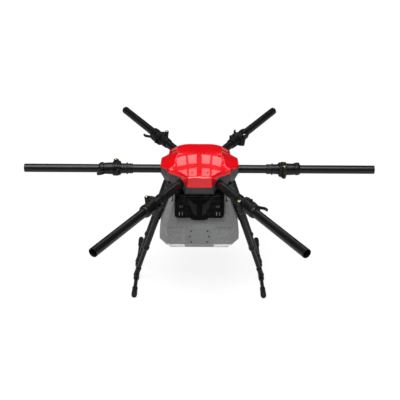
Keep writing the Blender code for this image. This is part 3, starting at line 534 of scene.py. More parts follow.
def board_material():
    n = Paint("board", IOR=1.5)
    split = n.node("SeparateXYZ", n.coordinates).outputs
    slant = n.math("ADD", split["X"], n.math("MULTIPLY", split["Y"], 0.5))
    lines = n.math("LESS_THAN", n.math("PINGPONG", slant, 0.004), 0.0007)
    colour = n.blend(lines, (0.008, 0.045, 0.020), (0.020, 0.090, 0.045))
    dust = n.math("MULTIPLY", n.band(n.noise(90, 3), 0.5, 0.6), 0.6)
    n.feed("Base Color", n.blend(dust, colour, (0.010, 0.012, 0.012)))
    n.gloss(60, 3, 0.30, 0.45)
    n.bump(lines, 0.00005, 0.6)
    return n.material


BATTERY_LOOK = {"grain": 1100, "wear": (0.07, 0.07, 0.075)}
TUBE_CARBON = carbon("carbon_tube", around=TUBE_R)
SKID_CARBON = carbon("carbon_skid", tow=0.0018, around=SKID_R)
PLATE_CARBON = carbon("carbon_plate", tow=0.0025)
JOINT = moulded("joint_black", (0.0042, 0.0043, 0.0047), 0.32)
LEVER = moulded("lever_black", (0.0028, 0.0028, 0.0030), 0.34, wear=grey(0.06))
BRASS = brass_metal()
STEEL = steel_metal()
CANOPY = canopy_paint()
SHELL = moulded("shell_grey", (0.050, 0.051, 0.052), 0.42, 900, wear=grey(0.10))
BOARD = board_material()
TRAY = moulded("tray_black", (0.0040, 0.0040, 0.0043), 0.45)
BATTERY = moulded("battery_black", (0.0010, 0.0010, 0.0012), 0.34, Specular_IOR_Level=0.04, **BATTERY_LOOK)
# The louvres are a lighter copy of the battery black: painted highlight along the ridges
LOUVRE_HIGHLIGHT = moulded("battery_louvre_highlight", (0.0070, 0.0071, 0.0074), 0.28, **BATTERY_LOOK)
# Pale pads under the tank: painted highlight on the floor-lit slope
PAD_HIGHLIGHT = moulded("tank_pad_highlight", (0.72, 0.72, 0.71), 0.6, 500, 0.0001, grey(0.85))
# Pale marks on the battery's face: painted highlight
TICK_HIGHLIGHT = moulded("battery_tick_highlight", (0.10, 0.105, 0.11), 0.5, wear=grey(0.5))
TANK = tank_plastic()
TANK_CAP = moulded("cap_black", (0.010, 0.010, 0.0105), 0.42)
LEG = moulded("leg_black", (0.0050, 0.0050, 0.0054), 0.26, 1800, wear=grey(0.10))
RUBBER = moulded("rubber", (0.0045, 0.0045, 0.0046), 0.50, 700, 0.00012, grey(0.05))
# Near-black matte liner inside the arm tubes: painted shade
BORE_SHADE = moulded("tube_bore_shade", (0.0016, 0.0016, 0.0017), 0.75, wear=grey(0.01))


# ------------ arms
def plain_tube(start, stop):
    return Shape().take(ring_solid(start, stop, TUBE_R - TUBE_WALL, TUBE_R, 0.0005, 96))


def joint_base_shape():
    """Inner half of a fold joint: clamp collar with ribs, flange, gussets, outer knuckles and latch fork."""
    s = Shape()
    s.take(ring_solid(0.3150, 0.3745, TUBE_R + 0.0001, 0.0232, 0.0012))
    for x, wide, high in ((0.3150, 0.0040, 0.0240), (0.3250, 0.0040, 0.0246), (0.3380, 0.0080, 0.0256),
                          (0.3540, 0.0045, 0.0250), (0.3640, 0.0045, 0.0254)):
        s.take(ring_solid(x, x + wide, 0.0222, high, 0.0010))
    for z in (-1, 1):    # lugs of the clamp band
        low, high = sorted((z * 0.0235, z * 0.0284))
        s.take(block((0.3385, -0.0062, low), (0.3455, 0.0062, high), 0.0014))
    outline = [
        (-0.034, -0.0225), (-0.0285, -0.030), (0.020, -0.030), (0.028, -0.023),
        (0.028, 0.023), (0.020, 0.030), (-0.0285, 0.030), (-0.034, 0.0225),
    ]
    s.take(slab(outline, 0.3845, 0.3967, 0.0022), ACROSS_ARM)
    inner = [(y * 0.93, z * 0.93) for y, z in outline]
    s.take(slab(inner, 0.3737, 0.3852, 0.0022), ACROSS_ARM)
    gusset = [(0.352, 0.0215), (0.3765, 0.0215), (0.3765, 0.0275), (0.3725, 0.0275)]
    for quarter in range(4):
        s.take(slab(gusset, -0.0018, 0.0018, 0.0007, 2), Matrix.Rotation(quarter * math.pi / 2, 4, "X"))
    room = BARREL_HALF + BARREL_ROOM
    for sign in (-1, 1):
        s.take(disc(room, KNUCKLE_HALF, KNUCKLE_R, 0.0012, 48), FOLD @ x_to_z(sign))
        web = block((-0.0150, -0.0020, room), (-0.0010, 0.0100, KNUCKLE_HALF - 0.0012), 0.0012)
        s.take(web, FOLD @ Matrix.Scale(sign, 4, (0, 0, 1)))
    for sign in (-1, 1):    # latch fork
        s.take(disc(0.0084, 0.0125, 0.0074, 0.0008, 40), LATCH @ x_to_z(sign))
        low, high = sorted((sign * 0.0084, sign * 0.0125))
        s.take(block((LATCH_X - 0.0070, 0.0235, low), (LATCH_X + 0.0070, LATCH_Y, high), 0.0008))
    return s


def joint_base_screws():
    s = Shape()
    for y, z in ((-0.0225, -0.0205), (0.0185, -0.0205), (0.0185, 0.0205), (-0.0225, 0.0205)):
        s.take(cap_screw(0.0032, 0.0030), facing((0.3737, y, z), (-1, 0, 0)))
    for z in (-1, 1):
        s.take(cap_screw(0.0019, 0.0014), facing((0.3420, -0.0062, z * 0.0262), (0, -1, 0)))
    return s


def joint_sleeve_shape():
    """Outer half of a fold joint: flange, barrel, smooth tapering sleeve and a fluted clamp ring."""
    s = Shape()
    outline = [
        (-0.026, -0.024), (-0.021, -0.029), (0.021, -0.029), (0.028, -0.022),
        (0.028, 0.022), (0.021, 0.029), (-0.021, 0.029), (-0.026, 0.024),
    ]
    s.take(slab(outline, 0.3973, 0.4088, 0.0022), ACROSS_ARM)
    body = [
        (0.4070, 0.0202), (0.4070, 0.0285), (0.4100, 0.0287), (0.4150, 0.0282), (0.4400, 0.0272),
        (0.4480, 0.0266), (0.4485, 0.0258), (0.4515, 0.0258), (0.4520, 0.0202),
    ]
    s.take(lathe(rounded_profile(body, 0.0006), 96, closed=True))
    clamp = [
        (0.4512, 0.0202), (0.4512, 0.0262), (0.4522, 0.0272), (0.4528, 0.0284), (0.4560, 0.0286),
        (0.4600, 0.0284), (0.4655, 0.0278), (0.4690, 0.0268), (0.4715, 0.0254), (0.4738, 0.0236),
        (0.4738, 0.0202),
    ]
    s.take(lathe(clamp, 144, closed=True, shape=fluted(18, 0.022, 3, 3, 8)))
    s.take(block((0.4535, -0.0060, 0.0262), (0.4655, 0.0060, 0.0298), 0.0012))
    s.take(disc(-BARREL_HALF, BARREL_HALF, KNUCKLE_R, 0.0010, 48), FOLD @ x_to_z())
    s.take(block((0.0010, -0.0040, -BARREL_HALF), (0.0125, 0.0105, BARREL_HALF), 0.0012), FOLD)
    s.take(block((0.4078, 0.0215, -0.0064), (0.4174, 0.0324, 0.0064), 0.0012))
    return s


def lever_line():
    """LEVER_LINE as a smooth curve, four steps to each stretch, with the blade's half width at each point."""
    points = [Vector((x, y)) for x, y, half in LEVER_LINE]
    halves = [half for x, y, half in LEVER_LINE]
    fine, wide = [], []
    for index in range(len(points) - 1):
        p0, p3 = points[max(index - 1, 0)], points[min(index + 2, len(points) - 1)]
        p1, p2 = points[index], points[index + 1]
        for step in range(4):
            t = step / 4
            bent = (2 * p0 - 5 * p1 + 4 * p2 - p3) * t * t + (3 * p1 - p0 - 3 * p2 + p3) * t ** 3
            fine.append(0.5 * (2 * p1 + (p2 - p0) * t + bent))
            wide.append(halves[index] + (halves[index + 1] - halves[index]) * t)
    return [*fine, points[-1]], [*wide, halves[-1]]


def lever_shape():
    """Latch lever: a blade along LEVER_LINE with an eye, and grip ridges on the thumb pad."""
    fine, wide = lever_line()
    left, right = [], []
    for index, point in enumerate(fine):
        way = (fine[min(index + 1, len(fine) - 1)] - fine[max(index - 1, 0)]).normalized()
        normal = Vector((-way.y, way.x))
        left.append(tuple(point + normal * wide[index]))
        right.append(tuple(point - normal * wide[index]))
    s = Shape()
    s.take(slab(right + left[::-1], -0.0064, 0.0064, 0.0010, 2))
    s.take(disc(-0.0078, 0.0078, 0.0072, 0.0008, 40), LATCH @ x_to_z())
    for x, y in ((0.4645, 0.0598), (0.4680, 0.0600), (0.4715, 0.0601), (0.4750, 0.0600)):    # grip ridges
        s.take(block((x - 0.0009, y - 0.0016, -0.0054), (x + 0.0009, y + 0.0006, 0.0054), 0.0004, 2))
    return s


def hinge_pin_shape():
    """Brass pin with chamfered heads that have a turned groove and a centre drilling."""
    s = Shape()
    head = [
        (0, 0), (0, 0.0062), (0.0004, 0.0074), (0.0018, 0.0074), (0.0028, 0.0064), (0.0030, 0.0044),
        (0.0024, 0.0040), (0.0030, 0.0034), (0.0030, 0.0014), (0.0018, 0.0010), (0.0014, 0),
    ]
    for sign in (-1, 1):
        s.take(lathe([(KNUCKLE_HALF + x, radius) for x, radius in head], 48), FOLD @ x_to_z(sign))
    reach = KNUCKLE_HALF + 0.0004
    s.take(disc(-reach, reach, PIN_R, 0.0003, 32), FOLD @ x_to_z())
    return s


def latch_pin_shape():
    s = Shape()
    rivet = [(0.0121, 0), (0.0121, 0.0042), (0.0132, 0.0040), (0.0138, 0.0026), (0.0134, 0.0012), (0.0134, 0)]
    for sign in (-1, 1):
        s.take(lathe(rivet, 32), LATCH @ x_to_z(sign))
    return s


def build_arms():
    """Each shape once, as six pieces. The last entry says whether it stands for the CAD node of that name."""
    fixed = (
        ("root_tube", plain_tube(*ROOT_TUBE), TUBE_CARBON, "carbon_tube", True),
        ("joint_base", joint_base_shape(), JOINT, "joint_black", True),
        ("hinge_pin", hinge_pin_shape(), BRASS, "brass", True),
        ("base_screws", joint_base_screws(), STEEL, "joint_black", False),
        ("latch_pin", latch_pin_shape(), STEEL, "joint_black", False),
    )
    inside = TUBE_R - TUBE_WALL
    # A dark matte liner and a plug deep in the open end of the arm tube: painted shade inside the bore
    shaded_bore = Shape().take(ring_solid(0.700, 0.8235, inside - 0.0012, inside + 0.0002, 0.0002))
    shaded_bore.take(disc(0.700, 0.702, 0.0172, 0.0004, 48))
    screws = Shape()
    for y in (-1, 1):
        screws.take(cap_screw(0.0026, 0.0016), facing((0.4595, y * 0.0060, 0.0281), (0, y, 0)))
    turning = (
        ("joint_sleeve", joint_sleeve_shape(), JOINT, "joint_black", True),
        ("arm_tube", plain_tube(*ARM_TUBE), TUBE_CARBON, "carbon_tube", True),
        ("arm_bore_shade", shaded_bore, BORE_SHADE, "carbon_tube", False),
        ("sleeve_screws", screws, STEEL, "joint_black", False),
    )
    levers = (("latch_lever", lever_shape(), LEVER, "lever_black", True),)
    for pieces, body in ((fixed, "root"), (turning, "arm_"), (levers, "latch_")):
        for name, shape, material, slot, stands in pieces:
            mesh = shape.mesh(name)
            for index, arm in enumerate(ARM_NAMES):
                rider = body if body == "root" else body + arm
                nodes = (f"{name}_{arm}",) if stands else ()
                piece(f"{name}_visual_{arm}", mesh, material, rider, slot, nodes, LIFT @ to_arm(index))


# ------------ centre body
def body_rows():
    """BODY_OUTLINE all the way round, with each row's values."""
    left = [(-row[0], *row[1:]) for row in BODY_OUTLINE[-2:0:-1]]
    return [*BODY_OUTLINE, *left]


def resampled(rows, parts):
    """Each side split into equal parts, so that the crown above it can curve."""
    found = []
    for index, row in enumerate(rows):
        after = rows[(index + 1) % len(rows)]
        for step in range(parts):
            t = step / parts
            found.append(tuple(a + (b - a) * t for a, b in zip(row, after)))
    return found


def crown_height(x, y):
    """The crown's low dome: nearly level at the back and bending down to the nose."""
    front = max(0.0, 0.035 - y)
    bend = 0.74 - 0.46 * min(1.0, max(0.0, y / 0.1))
    return 0.0810 - 0.36 * front ** 1.6 - bend * x * x - 0.15 * max(0.0, y - 0.03) ** 1.7


def canopy_mesh():
    """Skirt with a rolled rim, slopes to the crown's crease, and a smooth low crown."""
    parts = 4
    rows = resampled(body_rows(), parts)
    rim, skirt, waist, shoulder, crease = [], [], [], [], []
    crown = [[] for _ in range(9)]
    for x, y, seam, top, reach in rows:
        rim.append((x * 1.006, y * 1.006, seam))
        skirt.append((x * 1.006, y * 1.006, seam + 0.0016))
        waist.append((x, y, seam + 0.0030))
        shoulder.append((x * SHOULDER_SCALE, y * SHOULDER_SCALE, top))
        way = Vector((x, y)).normalized() * reach
        crease.append((way.x, way.y, max(top + 0.001, crown_height(way.x, way.y))))
        for index, ring in enumerate(crown):
            plan = way * (1 - (index + 1) / 10)
            ring.append((plan.x, plan.y, crown_height(plan.x, plan.y)))
    bm = lofted([rim, skirt, waist, shoulder, crease, *crown], (0, 0, crown_height(0, 0)))
    bm.verts.ensure_lookup_table()
    count = len(rows)
    chosen = []
    for edge in bm.edges:
        (ring, place), (next_ring, next_place) = (divmod(vert.index, count) for vert in edge.verts)
        along_ring = ring == next_ring and ring in (3, 4)    # the shoulder and the crease
        at_corner = place % parts == 0 and next_place % parts == 0
        up_slope = ring != next_ring and at_corner and max(ring, next_ring) == 3
        if (along_ring or up_slope) and edge.calc_face_angle(0.0) > math.radians(7):
            chosen.append(edge)
    round_edges(bm, chosen, 0.0032, 3)
    return Shape().take(thickened(bm, 0.0018)).mesh("canopy", sharp=50)


def shell_mesh():
    """The dark ring under the canopy: arm holes, and panel lines cut into the nose block."""
    top, waist, hip, foot, hem = [], [], [], [], []
    for x, y, seam, *_ in body_rows():
        nose = seam <= 0
        x, y = x * SHOULDER_SCALE, y * SHOULDER_SCALE
        top.append((x, y, seam - 0.0008))
        waist.append((x, y, min(seam - 0.0065, 0.0)))
        low = (x * NOSE_SPREAD, NOSE_FOOT_Y) if nose else (x * SHELL_FOOT_SCALE, y * SHELL_FOOT_SCALE)
        hip.append((x + (low[0] - x) * 0.9, y + (low[1] - y) * 0.9, SHELL_FLOOR + 0.004))
        foot.append((low[0] * 0.995, low[1] * 0.995, SHELL_FLOOR))
        hem.append((low[0] * 0.93, low[1] * 0.93, SHELL_FLOOR))
    bm = lofted([top, waist, hip, foot, hem])
    bevelled(bm, 0.0018, 2, 12)
    bm = thickened(bm, 0.0022)
    cutters = []
    for index in range(len(ARM_NAMES)):
        hole = lathe([(0.120, 0), (0.120, TUBE_R + 0.0006), (0.22, TUBE_R + 0.0006), (0.22, 0)], 48)
        hole.transform(to_arm(index))
        cutters.append(hole)
    for *_, line in leg_lines():
        socket = lathe([(0, 0), (0, 0.0166), (0.08, 0.0166), (0.08, 0)], 40)
        socket.transform(along(at_height(line, -0.020), at_height(line, -0.098)))
        cutters.append(socket)
    for x in (-0.036, 0.036):
        cutters.append(block((x - 0.0009, -0.20, -0.045), (x + 0.0009, -0.1842, -0.004), 0))
    return Shape().take(cut(bm, cutters)).mesh("shell", sharp=30)


def nose_face():
    """A frame on the nose block's sloping face, with its X axis outwards."""
    return facing((0, -0.1838, -0.0215), (0, -1, -0.115))


def nose_plates():
    """Latch plates and a middle plate on the shell's nose block."""
    s = Shape()
    for y in NOSE_LATCHES_Y:
        s.take(block((-0.0010, y - 0.0095, -0.0105), (0.0016, y + 0.0095, 0.0105), 0.0010), nose_face())
    return s.take(block((-0.0010, -0.028, -0.0120), (0.0010, 0.028, 0.0120), 0.0008), nose_face())


def nose_screws():
    s = Shape()
    for y in NOSE_LATCHES_Y:
        s.take(cap_screw(0.0026, 0.0016), nose_face() @ Matrix.Translation((0.0016, y, 0)))
    return s


def canopy_screws():
    """Two screws square to the crown's surface near the nose."""
    s = Shape()
    step = 0.001
    for x in CROWN_SCREWS_X:
        before, after = (crown_height(x, CROWN_SCREWS_Y + way * step) for way in (-1, 1))
        at = (x, CROWN_SCREWS_Y, crown_height(x, CROWN_SCREWS_Y) - 0.0004)
        s.take(cap_screw(0.0036, 0.0014), facing(at, (0, (before - after) / (2 * step), 1), "Y"))
    return s


def arm_grommets():
    """Rubber rings round the root tubes where they leave the shell."""
    s = Shape()
    for index, out in enumerate(GROMMETS_OUT):
        ring = ring_solid(out - 0.006, out + 0.0035, TUBE_R + 0.0002, TUBE_R + 0.0026, 0.0010)
        s.take(ring, to_arm(index))
    return s


def leg_lines():
    """Each leg's name, its side and its line from top to foot."""
    for side_name, side in SIDES.items():
        for end in ("front", "rear"):
            start, stop = (Vector((side * x, y, z)) for x, y, z in (LEG_TOPS[end], LEG_FEET[end]))
            yield f"{end}_{side_name}", side, (start, stop)


def at_height(line, z):
    """The point of a line that is at height z."""
    start, stop = line
    return start + (stop - start) * ((z - start.z) / (stop.z - start.z))


def soften(node, width, segments, material, angle=24):
    """A CAD node that stays: rounded edges, even shading and its own material."""
    obj = frame["nodes"][node]
    bevel = obj.modifiers.new("rounded", "BEVEL")
    bevel.width, bevel.segments, bevel.limit_method = width, segments, "ANGLE"
    bevel.angle_limit = math.radians(angle)
    shade_evenly(obj)
    for face in obj.data.polygons:
        face.use_smooth = True
    if not obj.data.materials:
        obj.data.materials.append(material)
    for holder in obj.material_slots:
        holder.material = material


def build_body():
    piece("canopy_visual", canopy_mesh(), CANOPY, "root", "canopy_red", ("top_canopy",))
    piece("canopy_screws", canopy_screws(), STEEL, "root", "canopy_red")
    piece("shell_visual", shell_mesh(), SHELL, "root", "shell_grey", ("lower_shell",))
    piece("nose_plates", nose_plates(), SHELL, "root", "shell_grey")
    piece("nose_screws", nose_screws(), STEEL, "root", "shell_grey")
    piece("arm_grommets", arm_grommets(), RUBBER, "root", "rubber")
    soften("upper_plate", 0.0006, 2, PLATE_CARBON)
    soften("power_board", 0.0005, 2, BOARD)
    soften("lower_frame", 0.0010, 2, JOINT)
    soften("battery_tray", 0.0006, 2, TRAY)
    soften("cap_seal", 0.0004, 2, RUBBER)


# ------------ battery
def battery_outline():
    """The pack's front in XZ, with tighter corners at the top."""
    outline = []
    top, bottom = (BATTERY_TOP, -1, BATTERY_ROUND["top"]), (BATTERY_BOTTOM, 1, BATTERY_ROUND["bottom"])
    corners = ((1, *top), (-1, *top), (-1, *bottom), (1, *bottom))
    for quarter, (side, level, inwards, radius) in enumerate(corners):
        x, z = side * (BATTERY_HALF - radius), level + inwards * radius
        for step in range(7):
            angle = math.radians(90 * quarter + 15 * step)
            outline.append((x + radius * math.cos(angle), z + radius * math.sin(angle)))
    return outline


def battery_shape():
    """Pack with a raised bezel, two side panels and a grip."""
    s = Shape()
    outline = battery_outline()
    s.take(slab(outline, -BEZEL_BACK, -BATTERY_FACE, 0.0030), FACING_NOSE)
    middle = (BATTERY_TOP + BATTERY_BOTTOM) / 2
    body = [(x * 0.985, (z - middle) * 0.985 + middle) for x, z in outline]
    s.take(slab(body, -BATTERY_BACK, 0.1800, 0.0020), FACING_NOSE)
    for left, right in ((-0.1015, -0.0425), (0.0345, 0.0975)):
        s.take(block((left, -0.2012, -0.1460), (right, -0.1990, -0.0560), 0.0010))
    grip = [(-0.037, 0.006), (0.037, 0.006), (0.037, 0), (0.029, -0.0125), (-0.029, -0.0125), (-0.037, 0)]
    s.take(slab([(x, z + BATTERY_BOTTOM) for x, z in grip], 0.1810, 0.1990, 0.0022), FACING_NOSE)
    return s


def battery_louvres():
    """Pairs of slanted ridges on the battery's face, sloping down towards the middle."""
    s = Shape()
    for index in range(LOUVRES):
        top, inner, outer = -0.0500 - LOUVRE_PITCH * index, 0.0125, 0.0560 - 0.0036 * index
        low = top - (outer - inner) * LOUVRE_SLOPE
        for side in (-1, 1):
            outline = [
                (side * inner, low - LOUVRE_WIDE), (side * outer, top - LOUVRE_WIDE), (side * outer, top),
                (side * inner, low),
            ]
            s.take(slab(outline[::side], 0.1985, 0.2022, 0.0010, 2), FACING_NOSE)
    return s


def battery_ticks():
    """Small pale marks on both sides of the battery's face: painted highlights, standing in for small glints.
    """
    s = Shape()
    marks = (
        (0.0785, 0.0022, -0.1370, -0.1185), (0.0920, 0.0022, -0.1370, -0.1185),
        (0.0790, 0.0016, -0.0950, -0.0850), (0.0885, 0.0016, -0.0950, -0.0850),
    )
    for side in (-1, 1):
        for x, half, low, high in marks:
            s.take(block((side * x - half, -0.2024, low), (side * x + half, -0.2006, high), 0.0006, 2))
    return s


def build_battery():
    piece("battery_louvres", battery_louvres(), LOUVRE_HIGHLIGHT, "battery", "battery_black")
    piece("battery_visual", battery_shape(), BATTERY, "battery", "battery_black", ("battery_pack",))
    piece("battery_ticks", battery_ticks(), TICK_HIGHLIGHT, "battery", "battery_black")


# ------------ tank
def tank_plate():
    """The plate under the battery and the two strips beside it, proud of the tank's face."""
    outline = [(-0.0540, -0.2060), (-0.0645, -0.2900), (0.0645, -0.2900), (0.0540, -0.2060)]
    s = Shape().take(slab(outline, 0.1990, 0.2016, 0.0012), FACING_NOSE)
    for x in (-0.108, 0.108):
        s.take(block((x - 0.040, -0.2012, -0.2045), (x + 0.040, -0.1985, -0.2015), 0.0010))
    return s


def tank_pads():
    """Two white pads on the slope under the tank's face; their pale colour is a painted highlight where the
    slope faces the floor's light.
    """
    s = Shape()
    edge = Vector((0, TANK_FACE, -0.2930))    # where the face meets the slope
    lean = Matrix.Rotation(math.atan2(0.018, 0.029), 4, "X")
    lay = Matrix.Translation(edge) @ lean @ Matrix.Translation((0, 0, -edge.z)) @ FACING_NOSE
    for side in (-1, 1):
        outline = [(0.068, -0.2945), (0.150, -0.2945), (0.148, -0.3050), (0.128, -0.3170), (0.068, -0.3195)]
        s.take(slab([(side * x, z) for x, z in outline][::side], -0.0010, 0.0024, 0.0008), lay)
    return s


def tank_screws():
    s = Shape()
    for side in (-1, 1):
        for x, z in ((0.0380, -0.2215), (0.0444, -0.2510), (0.0377, -0.2810)):
            s.take(cap_screw(0.0042, 0.0018), facing((side * x, -0.2015, z), (0, -1, 0)))
    return s


def tank_cap():
    """Knurled screw cap with six ribs on its top, between the CAD cap's heights."""
    low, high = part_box("tank_cap")
    height = high.z - low.z
    profile = [
        (0.0000, 0.0440), (0.0012, 0.0445), (0.0040, 0.0445), (0.0120, 0.0443), (0.0200, 0.0440),
        (height - 0.0050, 0.0436), (height - 0.0030, 0.0425), (height - 0.0016, 0.0405),
        (height - 0.0012, 0.0340), (height - 0.0030, 0.0325), (height - 0.0030, 0.0120),
        (height - 0.0010, 0.0100), (height - 0.0006, 0.0),
    ]
    foot = Matrix.Translation((0, FILLER_Y, low.z))
    s = Shape().take(lathe(profile, 144, shape=fluted(36, 0.020, 2, 2, 9)), foot @ x_to_z())
    for index in range(6):
        rib = block((0.0150, -0.0030, height - 0.0038), (0.0395, 0.0030, height - 0.0002), 0.0012)
        s.take(rib, foot @ Matrix.Rotation(math.radians(60 * index + 30), 4, "Z"))
    return s


def build_tank():
    soften("tank", 0.0050, 3, TANK, angle=20)
    piece("tank_plate", tank_plate(), TANK, "tank", "tank_grey")
    piece("tank_pads", tank_pads(), PAD_HIGHLIGHT, "tank", "tank_grey")
    piece("tank_screws", tank_screws(), STEEL, "tank", "tank_grey")
    piece("tank_cap_visual", tank_cap(), TANK_CAP, "filler_cap", "cap_black", ("tank_cap",), Matrix())


# ------------ landing gear
def leg_shape(down):
    """Tube with a twin collar above its thinner part. down(z) is the way along the leg to height z."""
    profile = [
        (LEG_SHOWN_FROM, 0), (LEG_SHOWN_FROM, 0.0130), (-0.3750, 0.0130), (-0.3752, 0.0138),
        (-0.3780, 0.0155), (-0.3830, 0.0157), (-0.3838, 0.0150), (-0.3852, 0.0150), (-0.3860, 0.0157),
        (-0.3910, 0.0155), (-0.3940, 0.0140), (-0.3962, 0.0118), (-0.3990, 0.0106), (-0.5435, 0.0105),
        (-0.5435, 0),
    ]
    return Shape().take(turned([(down(z), radius) for z, radius in profile], 0.0005))


def sleeve_shape(down):
    """Sleeve over the frame's socket, with a clamp band, its lug and two long ribs."""
    profile = [
        (-0.0600, 0.0150), (-0.0600, 0.0154), (-0.1950, 0.0154), (-0.1955, 0.0163), (-0.2060, 0.0163),
        (-0.2065, 0.0157), (-0.2080, 0.0157), (-0.2085, 0.0163), (-0.2152, 0.0163), (-0.2156, 0.0132),
        (-0.2100, 0.0132),
    ]
    rounded = rounded_profile([(down(z), radius) for z, radius in profile], 0.0005)
    s = Shape().take(lathe(rounded, closed=True))
    s.take(block((down(-0.1970), -0.0045, 0.0150), (down(-0.2135), 0.0045, 0.0205), 0.0010))
    for low, high in ((0.0148, 0.0162), (-0.0162, -0.0148)):
        s.take(block((down(-0.0850), -0.0030, low), (down(-0.1750), 0.0030, high), 0.0006))
    return s


def leg_bolts(down):
    """The clamp lug's screw and the collar's screw."""
    s = Shape().take(cap_screw(0.0024, 0.0018), Matrix.Translation((down(-0.2052), 0.0045, 0.0180)) @ X_TO_Y)
    return s.take(cap_screw(0.0028, 0.0018), Matrix.Translation((down(-0.3850), 0, 0.0150)) @ x_to_z())


def build_legs():
    for name, side, line in leg_lines():
        tall = (line[0] - line[1]).length / (line[0].z - line[1].z)

        def down(z):
            return (LEG_SHOWN_FROM - z) * tall

        place = LIFT @ along(at_height(line, LEG_SHOWN_FROM), line[1])
        piece(f"leg_visual_{name}", leg_shape(down), LEG, "root", "leg_black", (f"leg_{name}",), place)
        piece(f"leg_sleeve_{name}", sleeve_shape(down), JOINT, "root", "joint_black", (), place)
        piece(f"leg_bolts_{name}", leg_bolts(down), STEEL, "root", "leg_black", (), place)
        tee = tee_shape(side, line)
        piece(f"skid_tee_visual_{name}", tee, JOINT, "root", "joint_black", (f"skid_tee_{name}",))
        piece(f"tee_bolts_{name}", tee_bolts(side, line[1].y), STEEL, "root", "joint_black")


def tee_shape(side, line):
    """Clamp on the skid with a socket for the leg."""
    profile = [
        (-0.0260, 0.0097), (-0.0260, 0.0128), (-0.0250, 0.0138), (-0.0210, 0.0140), (-0.0205, 0.0131),
        (-0.0185, 0.0131), (-0.0180, 0.0140), (0.0180, 0.0140), (0.0185, 0.0131), (0.0205, 0.0131),
        (0.0210, 0.0140), (0.0250, 0.0138), (0.0260, 0.0128), (0.0260, 0.0097),
    ]
    x, y = side * SKID_X, line[1].y
    s = Shape().take(lathe(profile, closed=True), Matrix.Translation((x, y, SKID_Z)) @ X_TO_Y)
    start, stop = at_height(line, SKID_Z + 0.004), at_height(line, SKID_Z + 0.050)
    high = (stop - start).length
    socket = [
        (0.000, 0.0), (0.000, 0.0140), (high * 0.25, 0.0140), (high * 0.45, 0.0134), (high * 0.78, 0.0134),
        (high * 0.80, 0.0143), (high * 0.97, 0.0143), (high, 0.0134), (high, 0.0108), (high - 0.0015, 0.0),
    ]
    s.take(lathe(socket), along(start, stop))
    for middle in (y - 0.0125, y + 0.0125):    # webs between socket and clamp
        low = (x - 0.0035, middle - 0.0080, SKID_Z + 0.0080)
        s.take(block(low, (x + 0.0035, middle + 0.0080, SKID_Z + 0.0175), 0.0020))
    return s


def tee_bolts(side, y):
    s = Shape()
    for middle in (y - 0.0120, y + 0.0120):
        s.take(cap_screw(0.0026, 0.0022), facing((side * (SKID_X + 0.0128), middle, SKID_Z), (side, 0, 0)))
    return s


def skid_cap_shape():
    """Teardrop cap with two rubber rings. It touches the ground where the CAD cap does."""
    profile = [
        (0.1850, 0.0096), (0.1850, 0.0112), (0.1866, 0.0122), (0.1900, 0.0125), (0.2020, 0.0128),
        (0.2120, 0.0131), (0.2220, 0.0135), (0.2330, 0.01395), (0.2420, 0.01400), (0.2490, 0.0135),
        (0.2535, 0.0122), (0.2560, 0.0100), (0.2570, 0.0070), (0.2572, 0.0),
    ]
    s = Shape().take(lathe(profile))
    for x in (0.1925, 0.1975):
        s.take(ring_solid(x, x + 0.0022, 0.0120, 0.0134, 0.0005))
    return s


def build_skids():
    for side_name, side in SIDES.items():
        axis = LIFT @ Matrix.Translation((side * SKID_X, 0, SKID_Z)) @ X_TO_Y
        tube = Shape().take(ring_solid(-SKID_HALF, SKID_HALF, SKID_R - SKID_WALL, SKID_R, 0.0004))
        nodes = (f"skid_tube_{side_name}",)
        piece(f"skid_visual_{side_name}", tube, SKID_CARBON, "root", "carbon_tube", nodes, axis)
        for end, place in (("front", axis @ Matrix.Rotation(math.pi, 4, "Z")), ("rear", axis)):
            name, nodes = f"skid_cap_visual_{end}_{side_name}", (f"skid_cap_{end}_{side_name}",)
            piece(name, skid_cap_shape(), RUBBER, "root", "rubber", nodes, place)


# ------------ studio
WORLD_LOW, WORLD_HIGH, WORLD_RISE = 0.025, 0.24, (0.80, 0.97)    # strengths, and where the sky changes
SUN_STRENGTH, SUN_ANGLE, SUN_TURN = 3.25, math.radians(50), (math.radians(12), math.radians(-8), 0)
FLOOR_HALF, FLOOR_GLOW = 40, 0.88
# reflections see a darker floor than the camera does, most of all behind the drone
DIM_FROM_TO, DIM_FRONT, DIM_BEHIND = (0.25, 0.75), 0.30, 0.85
WINDOW_FAR, PANE_RADIANCE = 3.0, 2.3
PANE_COLUMNS = ((0.085, 0.345), (0.415, 0.70))    # from the middle outwards, in metres
PANE_ROWS = ((36.0, 45.2), (47.6, 54.5))    # elevation from the crown, in degrees
# the crown reflects 45 degrees at this Y and height, and each further degree this far forwards
CROWN_FRONT_Y, CROWN_FRONT_Z, CROWN_FRONT_SHIFT = -0.092, 0.065, 0.0100
STRIP_RADIANCE, STRIP_FAR, STRIP_SIZE = 1.5, 3.2, (0.12, 1.1)
STRIP_TURN, STRIP_HEIGHT = math.radians(21), math.radians(34)
CAMERA_AT, CAMERA_LENS = (-0.0172, -2.9987, 2.1046), 64.08
CAMERA_LIFT, CAMERA_YAW, CAMERA_ROLL = (math.radians(angle) for angle in (29.613, -0.390, 0.506))


def area_light(name, place, target, size, radiance):
    """A rectangular lamp that the camera can't see."""
    data = bpy.data.lights.new(name, "AREA")
    data.shape, data.size, data.size_y = "RECTANGLE", *size
    data.energy = radiance * math.pi * size[0] * size[1]
    light = linked(name, data)
    light.location = place
    light.rotation_euler = (Vector(target) - Vector(place)).to_track_quat("-Z", "Y").to_euler()
    light.visible_camera = False


